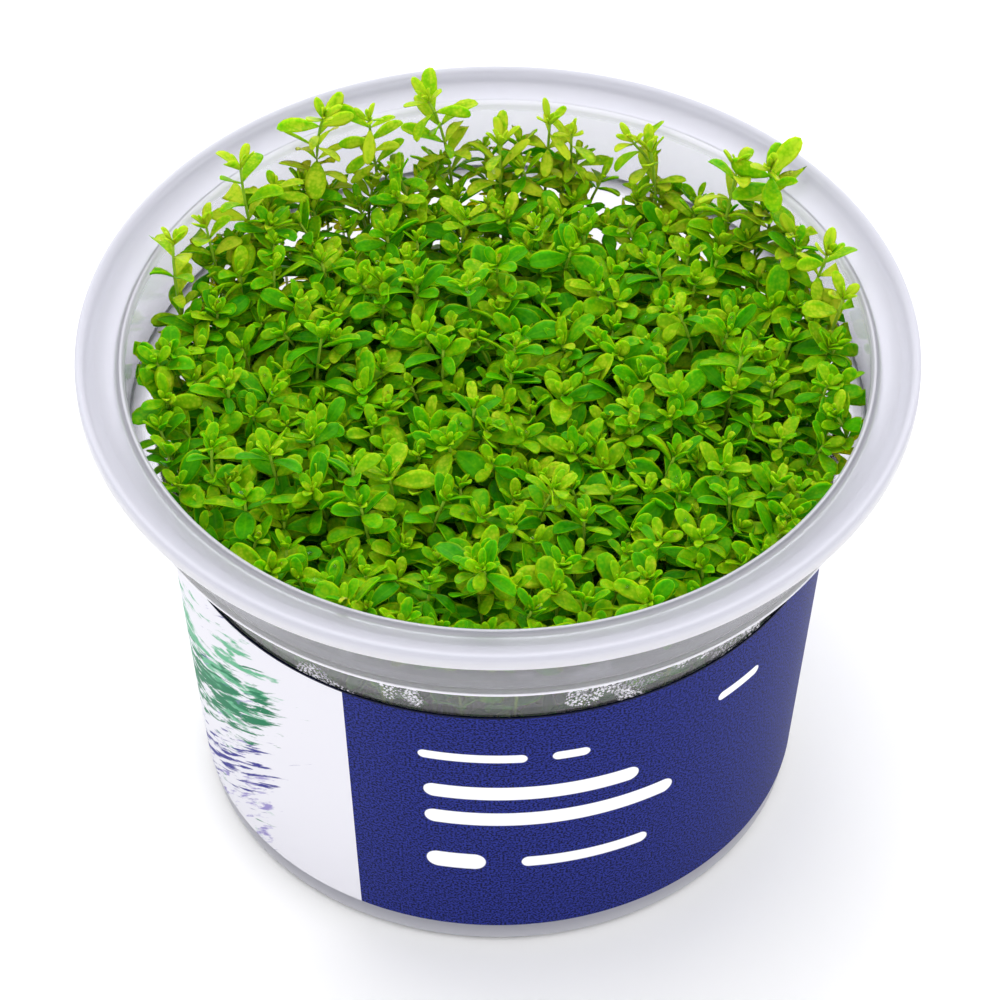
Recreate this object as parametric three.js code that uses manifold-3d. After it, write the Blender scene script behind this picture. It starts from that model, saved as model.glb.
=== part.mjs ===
// Pearlweed, a small-leaved carpeting water plant, grown to the rim of its open culture cup.
// Millimetres, +Z up. The origin is the centre of the cup's base, on the surface it stands on.
// -Y is the front. The label's two ends meet at the back, at +Y.

import * as THREE from "three";
import { mergeVertices } from "three/addons/utils/BufferGeometryUtils.js";
import Module from "manifold-3d";

const wasm = await Module();
wasm.setup();

// Tolerances: points nearer than this are one point, and angles nearer than this are one angle
const SAME_POINT = 1e-5;
const SAME_ANGLE = 1e-6;

// Cup: outside sizes of one thin moulding
const SEGMENTS = 32;
const RIM_RADIUS = 52;
const RIM_HEIGHT = 67.7;
const MOUTH_RADIUS = 45.9;
const MOUTH_HEIGHT = 66.3;
const WALL = 0.9;
const LIP_DEPTH = 2.4;
const LIP_WIDTH = 1.1;
const LIP_ROUNDING = 0.4;
const LIP_INSIDE_ROUNDING = 0.2;
const RIM_ROUNDING = 0.5;
const RIM_THICKENING = 0.3;
const BEAD_WIDTH = 0.9;
const BEAD_RISE = 0.35;
const COLLAR_TOP_RADIUS = 46.9;
const COLLAR_BOTTOM_RADIUS = 46.5;
const LEDGE_HEIGHT = 55;
const LEDGE_RADIUS = 42.3;
const BASE_RADIUS = 37.05;
const BASE_EDGE = 0.9;
const FOOT_WIDTH = 4.6;
const BASE_RECESS = 1.2;

// Label: a thin strip round the tapered wall
const LABEL_BOTTOM = 3.8;
const LABEL_TOP = 46.2;
const LABEL_THICKNESS = 0.2;
const LABEL_CLEARANCE = 0.05;
const LABEL_END_GAP = 2;

// Growing medium: a disc of clear gel
const GEL_TOP = 11;
const GEL_CLEARANCE = 0.15;

// Cushion of tufts: rings of foliage cells that fill the cup
const CUSHION_RADIUS = 43.2;
const CUSHION_SIDES = 16;
const SHORTEST_SIDE = 2.5;
const TUFT_RINGS = [
  { count: 1, radius: 0, turn: 0 },
  { count: 6, radius: 13.4, turn: 10 },
  { count: 10, radius: 25.6, turn: 4 },
  { count: 15, radius: 37.6, turn: 9 },
];
const TUFT_JITTER = 0.8;
const TUFT_CLEARANCE = 0.2;
const CROWN_HEIGHT = 62.5;
const CROWN_ROUGHNESS = 1.3;
const BACK_DROP = 3;
const BACK_START = 18;
const BACK_END = 40;
const SHOULDER_HEIGHT = 57.2;
const LEAST_RISE = 1.2;
const FOOT_CLEARANCE = 0.05;
const LEDGE_CLEARANCE = 0.1;
const WALL_CLEARANCE = 1;
const DOME_RISE = 1.1;
const FOOT_WIDTH_SHARE = 0.5;
const LEDGE_WIDTH_SHARE = 0.96;
const DOME_WIDTH_SHARE = 0.55;

// Leaves
const LEAF_LENGTH = 5;
const LEAF_WIDTH = 2.6;
const LEAF_THICKNESS = 0.4;
const LEAF_DEPTH = 2.8;
const LEAF_MARGIN = 0.5;
const LEAF_WIDEST = 0.62;
const LEAF_KEEL = 0.55;
const LEAF_FOLD = 0.06;
const LEAF_TIP_LIFT = 0.1;
const INNER_LEAVES = 3;
const INNER_RISE = radians(52);
const INNER_OUT = 0.5;
const INNER_ROOT = 1;
const OUTER_LEAVES = 5;
const OUTER_RISE = radians(34);
const OUTER_LEAF_SHARE = 0.4;
const OUTER_TURN = 0.3;
const OUTER_ROOT = 0.5;

// Tall shoots that stand above the cushion: azimuth from +X, distance of the tip from the axis, tip height
const SHOOTS = [
  { azimuth: 139, reach: 42.6, height: 75 },
  { azimuth: 121, reach: 42.6, height: 75.5 },
  { azimuth: 113, reach: 41.5, height: 73.5 },
  { azimuth: 102, reach: 42, height: 74 },
  { azimuth: 81, reach: 42, height: 70 },
  { azimuth: 66, reach: 42, height: 69.5 },
  { azimuth: 45, reach: 42.4, height: 73 },
  { azimuth: 38, reach: 43, height: 76 },
  { azimuth: 20, reach: 43.4, height: 72.5 },
  { azimuth: 158, reach: 43.4, height: 73 },
];
const SHOOT_RADIUS = 0.5;
const SHOOT_SIDES = 3;
const WHORL_SPACING = 4.6;
const WHORL_LEAVES = 2;
const WHORL_TURN = 0.6;
const WHORL_LEAF_LENGTH = 4.6;
const LOWEST_WHORL = 0.5;
const SPREAD_RISE = radians(28);
const STEEP_RISE = radians(74);
const MOUTH_CLEARANCE = 1;
const RIM_CLEARANCE = 0.6;
const TIP_LEAVES = 3;
const TIP_LEAF_LENGTH = 3.5;
const TIP_LEAF_RISE = radians(58);
const TIP_LEAF_HEIGHT = 2;
const NECK_SHARE = 0.97;
const ROOT_SHARE = 0.25;
const ROOT_DEPTH = 2;

// Leaf greens, as shares of the colour wheel and of full colour
const HUES = [0.24, 0.27];
const LIGHTNESSES = [0.3, 0.38];
const SATURATION = 0.9;

const random = seeded(7);

// Seeded random numbers from 0 to 1, the same on every run
function seeded(seed) {
  let state = seed;
  return function () {
    state = (state * 1664525 + 1013904223) % 4294967296;
    return state / 4294967296;
  };
}

function between(low, high) {
  return low + (high - low) * random();
}

function radians(degrees) {
  return (degrees * Math.PI) / 180;
}

// Solids: a closed three.js mesh becomes a solid for joining, and back
function toSolid(geometry) {
  const bare = geometry.clone();
  bare.deleteAttribute("normal");
  bare.deleteAttribute("uv");
  const merged = mergeVertices(bare, SAME_POINT);
  return new wasm.Manifold(
    new wasm.Mesh({
      numProp: 3,
      vertProperties: new Float32Array(merged.attributes.position.array),
      triVerts: new Uint32Array(merged.index.array),
    }),
  );
}

function toGeometry(solid) {
  const mesh = solid.getMesh();
  const geometry = new THREE.BufferGeometry();
  geometry.setAttribute("position", new THREE.BufferAttribute(new Float32Array(mesh.vertProperties), 3));
  geometry.setIndex(new THREE.BufferAttribute(new Uint32Array(mesh.triVerts), 1));
  return geometry;
}

// A closed skin over rings of points that all have the same count, with a point or a flat at each end
function skin(rings, bottomPoint, topPoint) {
  const count = rings[0].length;
  const points = rings.flat().concat([bottomPoint, topPoint]);
  const bottom = points.length - 2;
  const top = points.length - 1;
  const last = (rings.length - 1) * count;
  const faces = [];
  for (let i = 0; i < count; i += 1) {
    const next = (i + 1) % count;
    faces.push(bottom, next, i);
    for (let ring = 0; ring < rings.length - 1; ring += 1) {
      const low = ring * count;
      const high = low + count;
      faces.push(low + i, low + next, high + next);
      faces.push(low + i, high + next, high + i);
    }
    faces.push(last + i, last + next, top);
  }
  const geometry = new THREE.BufferGeometry().setFromPoints(points);
  geometry.setIndex(faces);
  return geometry;
}

// Cup
function wallRadius(z) {
  const share = (z - BASE_EDGE) / (LEDGE_HEIGHT - BASE_EDGE);
  return BASE_RADIUS + (LEDGE_RADIUS - BASE_RADIUS) * share;
}

function cupProfile() {
  const innerBottom = BASE_RECESS + WALL;
  const lipBottom = RIM_HEIGHT - LIP_DEPTH;
  const flangeFoot = MOUTH_RADIUS + BEAD_WIDTH;
  const ledgeTop = LEDGE_HEIGHT + WALL;
  const corners = [
    [0, BASE_RECESS],
    [BASE_RADIUS - FOOT_WIDTH - BASE_RECESS, BASE_RECESS],
    [BASE_RADIUS - FOOT_WIDTH, 0],
    [BASE_RADIUS - BASE_EDGE, 0],
    [BASE_RADIUS, BASE_EDGE],
    [wallRadius(LEDGE_HEIGHT), LEDGE_HEIGHT],
    [COLLAR_BOTTOM_RADIUS, LEDGE_HEIGHT],
    [COLLAR_TOP_RADIUS, MOUTH_HEIGHT - WALL],
    [RIM_RADIUS - LIP_WIDTH, RIM_HEIGHT - WALL - RIM_THICKENING],
    [RIM_RADIUS - LIP_WIDTH, lipBottom + LIP_INSIDE_ROUNDING],
    [RIM_RADIUS - LIP_ROUNDING, lipBottom],
    [RIM_RADIUS, lipBottom + LIP_ROUNDING],
    [RIM_RADIUS, RIM_HEIGHT - RIM_ROUNDING],
    [RIM_RADIUS - RIM_ROUNDING, RIM_HEIGHT],
    [flangeFoot, MOUTH_HEIGHT + BEAD_RISE / 2],
    [flangeFoot - BEAD_WIDTH / 2, MOUTH_HEIGHT + BEAD_RISE],
    [MOUTH_RADIUS, MOUTH_HEIGHT],
    [COLLAR_BOTTOM_RADIUS - WALL, ledgeTop],
    [wallRadius(ledgeTop) - WALL, ledgeTop],
    [wallRadius(innerBottom) - WALL, innerBottom + WALL],
    [wallRadius(innerBottom) - WALL * 2, innerBottom],
    [0, innerBottom],
  ];
  return corners.map(([r, z]) => new THREE.Vector2(r, z));
}

// Turns a profile of radius and height round the Z axis
function turned(points) {
  const geometry = new THREE.LatheGeometry(points, SEGMENTS);
  geometry.rotateX(Math.PI / 2);
  return geometry;
}

function cup() {
  return turned(cupProfile());
}

// Label: a strip whose facets lie parallel to the cup's, open at the back between its two ends
function facetPoint(radius, angle, z) {
  const facet = (2 * Math.PI) / SEGMENTS;
  const within = THREE.MathUtils.euclideanModulo(angle, facet) - facet / 2;
  const r = (radius * Math.cos(facet / 2)) / Math.cos(within);
  return new THREE.Vector3(r * Math.cos(angle), r * Math.sin(angle), z);
}

function label() {
  const facet = (2 * Math.PI) / SEGMENTS;
  const start = Math.PI / 2 + LABEL_END_GAP / 2 / wallRadius(LABEL_TOP);
  const end = start + 2 * Math.PI - LABEL_END_GAP / wallRadius(LABEL_TOP);
  const angles = [start];
  for (let i = Math.ceil(start / facet + SAME_ANGLE); i * facet < end; i += 1) {
    angles.push(i * facet);
  }
  angles.push(end);
  const corners = [
    [LABEL_CLEARANCE, LABEL_BOTTOM],
    [LABEL_CLEARANCE, LABEL_TOP],
    [LABEL_CLEARANCE + LABEL_THICKNESS, LABEL_TOP],
    [LABEL_CLEARANCE + LABEL_THICKNESS, LABEL_BOTTOM],
  ];
  const rings = angles.map((angle) =>
    corners.map(([offset, z]) => facetPoint(wallRadius(z) + offset, angle, z)),
  );
  return skin(rings, middle(rings[0]), middle(rings[rings.length - 1]));
}

// Growing medium
function nutrientGel() {
  const bottom = BASE_RECESS + WALL + GEL_CLEARANCE;
  const radius = (z) => wallRadius(z) - WALL - GEL_CLEARANCE;
  return turned([
    new THREE.Vector2(0, bottom),
    new THREE.Vector2(radius(bottom) - WALL, bottom),
    new THREE.Vector2(radius(bottom + WALL), bottom + WALL),
    new THREE.Vector2(radius(GEL_TOP), GEL_TOP),
    new THREE.Vector2(0, GEL_TOP),
  ]);
}

// Cushion: each tuft fills the cell of the cup that is nearer to it than to any other tuft
function tuftCentres() {
  const centres = [];
  for (const ring of TUFT_RINGS) {
    for (let i = 0; i < ring.count; i += 1) {
      const angle = radians(ring.turn + (360 * i) / ring.count);
      const x = ring.radius * Math.cos(angle) + between(-TUFT_JITTER, TUFT_JITTER);
      const y = ring.radius * Math.sin(angle) + between(-TUFT_JITTER, TUFT_JITTER);
      centres.push(new THREE.Vector2(x, y));
    }
  }
  return centres;
}

// Keeps the part of a polygon on the inner side of a line
function clip(polygon, point, outward) {
  const kept = [];
  const depth = (p) => p.clone().sub(point).dot(outward);
  polygon.forEach((a, i) => {
    const b = polygon[(i + 1) % polygon.length];
    const da = depth(a);
    const db = depth(b);
    if (da <= 0) {
      kept.push(a);
    }
    if (da * db < 0) {
      kept.push(a.clone().lerp(b, da / (da - db)));
    }
  });
  return kept;
}

function cell(centre, centres) {
  let polygon = [];
  for (let i = 0; i < CUSHION_SIDES; i += 1) {
    const angle = (Math.PI * (2 * i + 1)) / CUSHION_SIDES;
    const point = new THREE.Vector2(Math.cos(angle), Math.sin(angle));
    polygon.push(point.multiplyScalar(CUSHION_RADIUS));
  }
  for (const other of centres) {
    if (other !== centre) {
      const outward = other.clone().sub(centre).normalize();
      const halfway = centre.clone().add(other).multiplyScalar(0.5);
      polygon = clip(polygon, halfway.addScaledVector(outward, -TUFT_CLEARANCE), outward);
    }
  }
  return withoutShortSides(polygon);
}

function withoutShortSides(polygon) {
  return polygon.filter((p, i) => p.distanceTo(polygon[(i + 1) % polygon.length]) > SHORTEST_SIDE);
}

// Height of the foliage under the leaves of its top: level, a little rough, and lower along the back
function massHeight(centre) {
  const back = THREE.MathUtils.smoothstep(centre.y, BACK_START, BACK_END);
  const crown = CROWN_HEIGHT - BACK_DROP * back + between(-CROWN_ROUGHNESS, CROWN_ROUGHNESS);
  return Math.max(crown - LEAF_DEPTH, SHOULDER_HEIGHT + LEAST_RISE);
}

// How far the cushion spreads at a height, as a share of its full radius: it follows the cup's wall
function spread(z) {
  if (z >= SHOULDER_HEIGHT) {
    return 1;
  }
  return (wallRadius(z) - WALL - WALL_CLEARANCE) / CUSHION_RADIUS;
}

function tuftBody(centre, polygon, top) {
  const levels = [
    { z: GEL_TOP + FOOT_CLEARANCE, width: FOOT_WIDTH_SHARE },
    { z: LEDGE_HEIGHT + WALL + LEDGE_CLEARANCE, width: LEDGE_WIDTH_SHARE },
    { z: SHOULDER_HEIGHT, width: 1 },
    { z: top - DOME_RISE, width: DOME_WIDTH_SHARE },
  ];
  const at = (p, level) => {
    const flat = centre.clone().lerp(p, level.width).multiplyScalar(spread(level.z));
    return new THREE.Vector3(flat.x, flat.y, level.z);
  };
  const rings = levels.map((level) => polygon.map((p) => at(p, level)));
  const apex = new THREE.Vector3(centre.x, centre.y, top);
  return skin(rings, at(centre, levels[0]), apex);
}

// A leaf blade along +X from its base, widest beyond its middle, folded up a little from its midrib
function leafBlade(length, width) {
  const base = new THREE.Vector3(0, 0, 0);
  const right = new THREE.Vector3(length * LEAF_WIDEST, -width / 2, length * LEAF_FOLD);
  const tip = new THREE.Vector3(length, 0, length * LEAF_TIP_LIFT);
  const left = new THREE.Vector3(length * LEAF_WIDEST, width / 2, length * LEAF_FOLD);
  const keel = new THREE.Vector3(length * LEAF_KEEL, 0, -LEAF_THICKNESS);
  const geometry = new THREE.BufferGeometry().setFromPoints([base, right, tip, left, keel]);
  geometry.setIndex([0, 1, 2, 0, 2, 3, 1, 0, 4, 2, 1, 4, 3, 2, 4, 0, 3, 4]);
  return geometry;
}

// A leaf set at a point, pointing along an azimuth and raised by an angle
function leafAt(base, azimuth, rise, length) {
  const blade = leafBlade(length, (LEAF_WIDTH * length) / LEAF_LENGTH);
  const turn = new THREE.Euler(0, -rise, azimuth, "ZYX");
  blade.applyQuaternion(new THREE.Quaternion().setFromEuler(turn));
  blade.translate(base.x, base.y, base.z);
  return toSolid(blade);
}

// Distance from a cell's centre to its border along an azimuth
function reach(centre, polygon, azimuth) {
  const along = new THREE.Vector2(Math.cos(azimuth), Math.sin(azimuth));
  let least = CUSHION_RADIUS;
  polygon.forEach((a, i) => {
    const b = polygon[(i + 1) % polygon.length];
    const normal = new THREE.Vector2(b.y - a.y, a.x - b.x).normalize();
    const slope = along.dot(normal);
    if (slope > SAME_POINT) {
      least = Math.min(least, a.clone().sub(centre).dot(normal) / slope);
    }
  });
  return least;
}

function around(centre, distance, azimuth, z) {
  const x = centre.x + distance * Math.cos(azimuth);
  const y = centre.y + distance * Math.sin(azimuth);
  return new THREE.Vector3(x, y, z);
}

// Leaves on a tuft's dome: steep ones at its middle, and a wider ring that ends at the cell's border
function domeLeaves(centre, polygon, top) {
  const leaves = [];
  const start = between(0, Math.PI);
  for (let i = 0; i < INNER_LEAVES; i += 1) {
    const azimuth = start + (2 * Math.PI * i) / INNER_LEAVES;
    const base = around(centre, INNER_OUT, azimuth, top - INNER_ROOT);
    leaves.push(leafAt(base, azimuth, INNER_RISE, LEAF_LENGTH));
  }
  for (let i = 0; i < OUTER_LEAVES; i += 1) {
    const azimuth = start + (2 * Math.PI * (i + OUTER_TURN)) / OUTER_LEAVES;
    const border = reach(centre, polygon, azimuth);
    const out = border * OUTER_LEAF_SHARE;
    const base = around(centre, out, azimuth, top - DOME_RISE - OUTER_ROOT);
    const length = (border - out - LEAF_MARGIN) / Math.cos(OUTER_RISE);
    leaves.push(leafAt(base, azimuth, OUTER_RISE, Math.min(length, LEAF_LENGTH)));
  }
  return leaves;
}

// Leaves stand up where they would reach the cup's mouth, and spread anywhere else
function leafRise(place, azimuth, length) {
  const x = place.x + length * Math.cos(azimuth);
  const y = place.y + length * Math.sin(azimuth);
  const inside = Math.hypot(x, y) < MOUTH_RADIUS - MOUTH_CLEARANCE;
  return inside || place.z > RIM_HEIGHT + RIM_CLEARANCE ? SPREAD_RISE : STEEP_RISE;
}

// A tall shoot: a leaning stem with pairs of leaves, each pair turned from the last, and a tip of three
function shoot(root, tip, top) {
  const bend = new THREE.Vector3(tip.x, tip.y, (root.z + tip.z) / 2);
  const path = new THREE.QuadraticBezierCurve3(root, bend, tip);
  const steps = Math.round(path.getLength() / WHORL_SPACING);
  const section = new THREE.Shape();
  for (let i = 0; i < SHOOT_SIDES; i += 1) {
    const angle = (2 * Math.PI * i) / SHOOT_SIDES;
    const corner = [SHOOT_RADIUS * Math.cos(angle), SHOOT_RADIUS * Math.sin(angle)];
    if (i === 0) {
      section.moveTo(...corner);
    } else {
      section.lineTo(...corner);
    }
  }
  section.closePath();
  const solids = [toSolid(new THREE.ExtrudeGeometry(section, { steps, extrudePath: path }))];
  const joints = path.getSpacedPoints(steps).slice(1, steps);
  joints.forEach((place, whorl) => {
    if (place.z > top + LOWEST_WHORL) {
      for (let side = 0; side < WHORL_LEAVES; side += 1) {
        const azimuth = Math.PI * side + (Math.PI / 2) * whorl + WHORL_TURN;
        const rise = leafRise(place, azimuth, LEAF_LENGTH);
        solids.push(leafAt(place, azimuth, rise, WHORL_LEAF_LENGTH));
      }
    }
  });
  const neck = path.getPointAt(NECK_SHARE);
  for (let i = 0; i < TIP_LEAVES; i += 1) {
    solids.push(leafAt(neck, (2 * Math.PI * i) / TIP_LEAVES, TIP_LEAF_RISE, TIP_LEAF_LENGTH));
  }
  return solids;
}

function shootTip({ azimuth, reach, height }) {
  const angle = radians(azimuth);
  return new THREE.Vector3(reach * Math.cos(angle), reach * Math.sin(angle), height - TIP_LEAF_HEIGHT);
}

function nearest(point, centres) {
  const flat = new THREE.Vector2(point.x, point.y);
  return centres.reduce((best, c) => (flat.distanceTo(c) < flat.distanceTo(best) ? c : best));
}

function tuft(centre, centres) {
  const top = massHeight(centre);
  const polygon = cell(centre, centres);
  let solid = toSolid(tuftBody(centre, polygon, top));
  const grown = domeLeaves(centre, polygon, top);
  for (const spec of SHOOTS) {
    const tip = shootTip(spec);
    if (nearest(tip, centres) === centre) {
      const root = new THREE.Vector3(centre.x, centre.y, 0).lerp(tip, ROOT_SHARE).setZ(top - ROOT_DEPTH);
      grown.push(...shoot(root, tip, top));
    }
  }
  for (const piece of grown) {
    solid = solid.add(piece);
  }
  return toGeometry(solid);
}

function middle(points) {
  const sum = new THREE.Vector3();
  points.forEach((p) => sum.add(p));
  return sum.divideScalar(points.length);
}

function part(name, geometry, material) {
  const mesh = new THREE.Mesh(geometry, material);
  mesh.name = name;
  return mesh;
}

const group = new THREE.Group();
const plastic = new THREE.MeshStandardMaterial({ color: 0xe4e6ee, roughness: 0.35, metalness: 0 });
const print = new THREE.MeshStandardMaterial({ color: 0x26347c, roughness: 0.55, metalness: 0 });
const gel = new THREE.MeshStandardMaterial({ color: 0xe9eadb, roughness: 0.15, metalness: 0 });
group.add(part("cup", cup(), plastic));
group.add(part("label", label(), print));
group.add(part("nutrient_gel", nutrientGel(), gel));

const centres = tuftCentres();
centres.forEach((centre, i) => {
  const hue = between(...HUES);
  const green = new THREE.Color().setHSL(hue, SATURATION, between(...LIGHTNESSES));
  const leafGreen = new THREE.MeshStandardMaterial({ color: green, roughness: 0.5, metalness: 0 });
  group.add(part(`tuft_${String(i + 1).padStart(2, "0")}`, tuft(centre, centres), leafGreen));
});

export default group;
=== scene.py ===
"""Pearlweed grown to the rim of its open culture cup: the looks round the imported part.

The cup, its wrapped label, the growing gel and every tuft of stems are built here as fine meshes that stand
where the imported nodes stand. -Y is the front, +Z is up, and lengths in the classes are in millimetres.
"""

import logging
import math
from dataclasses import dataclass, field
from enum import Enum
from random import Random

import bpy
import numpy as np
from mathutils import Matrix, Vector, noise


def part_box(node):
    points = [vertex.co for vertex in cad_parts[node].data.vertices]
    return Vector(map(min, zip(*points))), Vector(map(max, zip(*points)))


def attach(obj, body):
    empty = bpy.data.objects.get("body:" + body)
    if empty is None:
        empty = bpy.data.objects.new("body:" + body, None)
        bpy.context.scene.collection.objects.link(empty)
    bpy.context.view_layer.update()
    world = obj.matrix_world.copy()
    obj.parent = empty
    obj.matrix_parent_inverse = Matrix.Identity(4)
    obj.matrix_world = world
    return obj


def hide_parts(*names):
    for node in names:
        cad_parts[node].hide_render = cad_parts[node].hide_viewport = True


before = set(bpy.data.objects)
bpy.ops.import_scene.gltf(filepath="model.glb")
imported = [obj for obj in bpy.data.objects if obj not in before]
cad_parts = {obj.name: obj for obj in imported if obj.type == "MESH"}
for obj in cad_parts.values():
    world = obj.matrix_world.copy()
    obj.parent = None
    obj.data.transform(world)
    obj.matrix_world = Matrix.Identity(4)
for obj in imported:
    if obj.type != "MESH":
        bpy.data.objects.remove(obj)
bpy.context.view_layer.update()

MM = 0.001
BODY = "root"
# Heights nearer than this, in mm, are one height
SAME_HEIGHT = 0.02
# Keeps a number that is divided by away from 0
TINY = 1e-6
GOLDEN_ANGLE = math.pi * (3 - math.sqrt(5))
log = logging.getLogger("pearlweed")


class Slot(Enum):
    """The record's material slots."""

    CUP = "cup_plastic"
    LABEL = "label_print"
    GEL = "gel"
    FOLIAGE = "foliage"


class Finish(Enum):
    """The number of each of a tuft's materials."""

    LEAF = 0
    STEM = 1
    WATER = 2


class Stage(Enum):
    """How far a leaf has grown, from the tip of a stem down."""

    BUD = 0
    YOUNG = 1
    GROWN = 2
    OLD = 3


def linear(colour: str) -> tuple[float, float, float, float]:
    """Turns an sRGB hex colour to Blender's linear colour, by the sRGB standard's own numbers.

    Args:
        colour: the colour as "#rrggbb".

    Returns:
        Linear red, green, blue, and an alpha of 1.
    """
    channels = []
    for start in (1, 3, 5):
        value = int(colour[start : start + 2], 16) / 255
        channels.append(value / 12.92 if value <= 0.04045 else ((value + 0.055) / 1.055) ** 2.4)
    return (*channels, 1.0)


def per_metre(size_mm: float) -> float:
    """Gives the texture scale of a pattern whose repeat has a real size.

    Args:
        size_mm: the repeat in millimetres.

    Returns:
        Repeats in a metre.
    """
    return 1 / (size_mm * MM)


def add_node(
    tree: bpy.types.NodeTree,
    kind: str,
    settings: dict | None = None,
    links: dict | None = None,
) -> bpy.types.Node:
    """Adds a node with its settings and links.

    Args:
        tree: the tree that gets the node.
        kind: the node's type name, without its "ShaderNode" start.
        settings: values for the node's properties, or for its inputs by name or number.
        links: outputs to join to the node's inputs, by name or number.

    Returns:
        The new node.
    """
    node = tree.nodes.new("ShaderNode" + kind)
    for key, value in (settings or {}).items():
        if isinstance(key, str) and hasattr(node, key):
            setattr(node, key, value)
        else:
            node.inputs[key].default_value = value
    for key, output in (links or {}).items():
        tree.links.new(output, node.inputs[key])
    return node


def new_material(name: str) -> tuple[bpy.types.Material, bpy.types.NodeTree, bpy.types.Node]:
    """Starts a material.

    Args:
        name: the material's name.

    Returns:
        The material, its node tree and its surface shader.
    """
    material = bpy.data.materials.new(name)
    material.use_nodes = True
    tree = material.node_tree
    tree.nodes.clear()
    shader = add_node(tree, "BsdfPrincipled")
    add_node(tree, "OutputMaterial", links={"Surface": shader.outputs["BSDF"]})
    return material, tree, shader


def smooth_step(value: float, low: float, high: float) -> float:
    """Gives 0 below low, 1 above high, and a smooth rise between them."""
    share = min(max((value - low) / (high - low), 0.0), 1.0)
    return share * share * (3 - 2 * share)


@dataclass(frozen=True)
class MouldedPolypropylene:
    """Natural polypropylene, injection moulded: glassy where it is thin, milky where it is thick or bent.

    The steel mould leaves a fine satin, so gloss is soft and what is behind is blurred. The sharp edges of
    the rim and the ledge are drawn milky and show as white lines: partly the light that thin plastic
    scatters at an edge, partly painted highlights standing for the gloss their roundings catch. Damp from
    the plants stands on the inside of the front wall in patches of pale beads. Real beads are 0.1 to 0.2 mm
    wide, too fine to show, so they are drawn at 0.36 mm.
    """

    thick: str = "#a6a7b8"
    thin: str = "#fbfaff"
    ior: float = 1.49
    clear_roughness: float = 0.04
    milky_roughness: float = 0.4
    milky_below: float = 0.65
    clear_above: float = 0.97
    damp_clearness: float = 0.2
    damp_low: float = 46.0
    damp_high: float = 54.6
    damp_patch: float = 5.5
    patch_from: float = 0.575
    patch_full: float = 0.62
    bead: float = 0.36
    bead_edge: float = 0.5
    bead_middle: float = 0.38

    def _damp(
        self,
        tree: bpy.types.NodeTree,
        place: bpy.types.NodeSocket,
        height: bpy.types.NodeSocket,
    ) -> bpy.types.NodeSocket:
        """Finds the damp beads.

        Args:
            tree: the cup's node tree.
            place: the place on the cup.
            height: its height.

        Returns:
            1 on a bead and 0 elsewhere.
        """
        spread = {"Scale": per_metre(self.damp_patch), "Detail": 1.0}
        patches = add_node(tree, "TexNoise", spread, {"Vector": place})
        patch_range = {"From Min": self.patch_from, "From Max": self.patch_full}
        patch = add_node(tree, "MapRange", patch_range, {"Value": patches.outputs[0]})
        beads = add_node(tree, "TexVoronoi", {"Scale": per_metre(self.bead)}, {"Vector": place})
        bead_range = {"From Min": self.bead_edge, "From Max": self.bead_middle}
        bead = add_node(tree, "MapRange", bead_range, {"Value": beads.outputs["Distance"]})
        above = add_node(tree, "Math", {"operation": "GREATER_THAN", 1: self.damp_low * MM}, {0: height})
        below = add_node(tree, "Math", {"operation": "LESS_THAN", 1: self.damp_high * MM}, {0: height})
        band = add_node(tree, "Math", {"operation": "MULTIPLY"}, {0: above.outputs[0], 1: below.outputs[0]})
        depth = add_node(tree, "SeparateXYZ", links={0: place}).outputs["Y"]
        front = add_node(tree, "Math", {"operation": "LESS_THAN", 1: 0.0}, {0: depth})
        there = add_node(tree, "Math", {"operation": "MULTIPLY"}, {0: band.outputs[0], 1: front.outputs[0]})
        wet = add_node(tree, "Math", {"operation": "MULTIPLY"}, {0: patch.outputs[0], 1: bead.outputs[0]})
        drawn = add_node(tree, "Math", {"operation": "MULTIPLY"}, {0: there.outputs[0], 1: wet.outputs[0]})
        return drawn.outputs[0]

    def material(self) -> bpy.types.Material:
        """Makes the cup's material.

        Returns:
            The material, which reads each point's clearness and thinness.
        """
        material, tree, shader = new_material("injection moulded polypropylene")
        place = add_node(tree, "NewGeometry").outputs["Position"]
        height = add_node(tree, "SeparateXYZ", links={0: place}).outputs["Z"]
        moulded = add_node(tree, "Attribute", {"attribute_name": "clear"}).outputs["Fac"]
        damp = self._damp(tree, place, height)
        clear = add_node(
            tree, "MapRange", {"To Max": self.damp_clearness}, {"Value": damp, "To Min": moulded}
        )
        satin = add_node(
            tree,
            "MapRange",
            {
                "From Min": self.milky_below,
                "From Max": self.clear_above,
                "To Min": self.milky_roughness,
                "To Max": self.clear_roughness,
            },
            {"Value": clear.outputs[0]},
        )
        tree.links.new(clear.outputs[0], shader.inputs["Transmission Weight"])
        tree.links.new(satin.outputs[0], shader.inputs["Roughness"])
        thinness = add_node(tree, "Attribute", {"attribute_name": "thin"})
        tint = add_node(
            tree,
            "MixRGB",
            {"Color1": linear(self.thick), "Color2": linear(self.thin)},
            {"Fac": thinness.outputs["Fac"]},
        )
        tree.links.new(tint.outputs[0], shader.inputs["Base Color"])
        shader.inputs["IOR"].default_value = self.ior
        return material


@dataclass(frozen=True)
class Bar:
    """A plain bar with round ends on the label: where it starts and ends, its height, its half thickness."""

    start: float
    end: float
    height: float
    radius: float


@dataclass(frozen=True)
class Wash:
    """Brush strokes of thinned colour along a slanted swath of the label.

    The angle is in degrees, and the strokes' length and width, the swath's distance from the label's front
    bottom corner and its half width are in millimetres. The fill is how thickly the strokes lie in the
    middle of the swath.
    """

    colour: str
    angle: float
    length: float
    width: float
    distance: float
    half_swath: float
    fill: float


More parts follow.
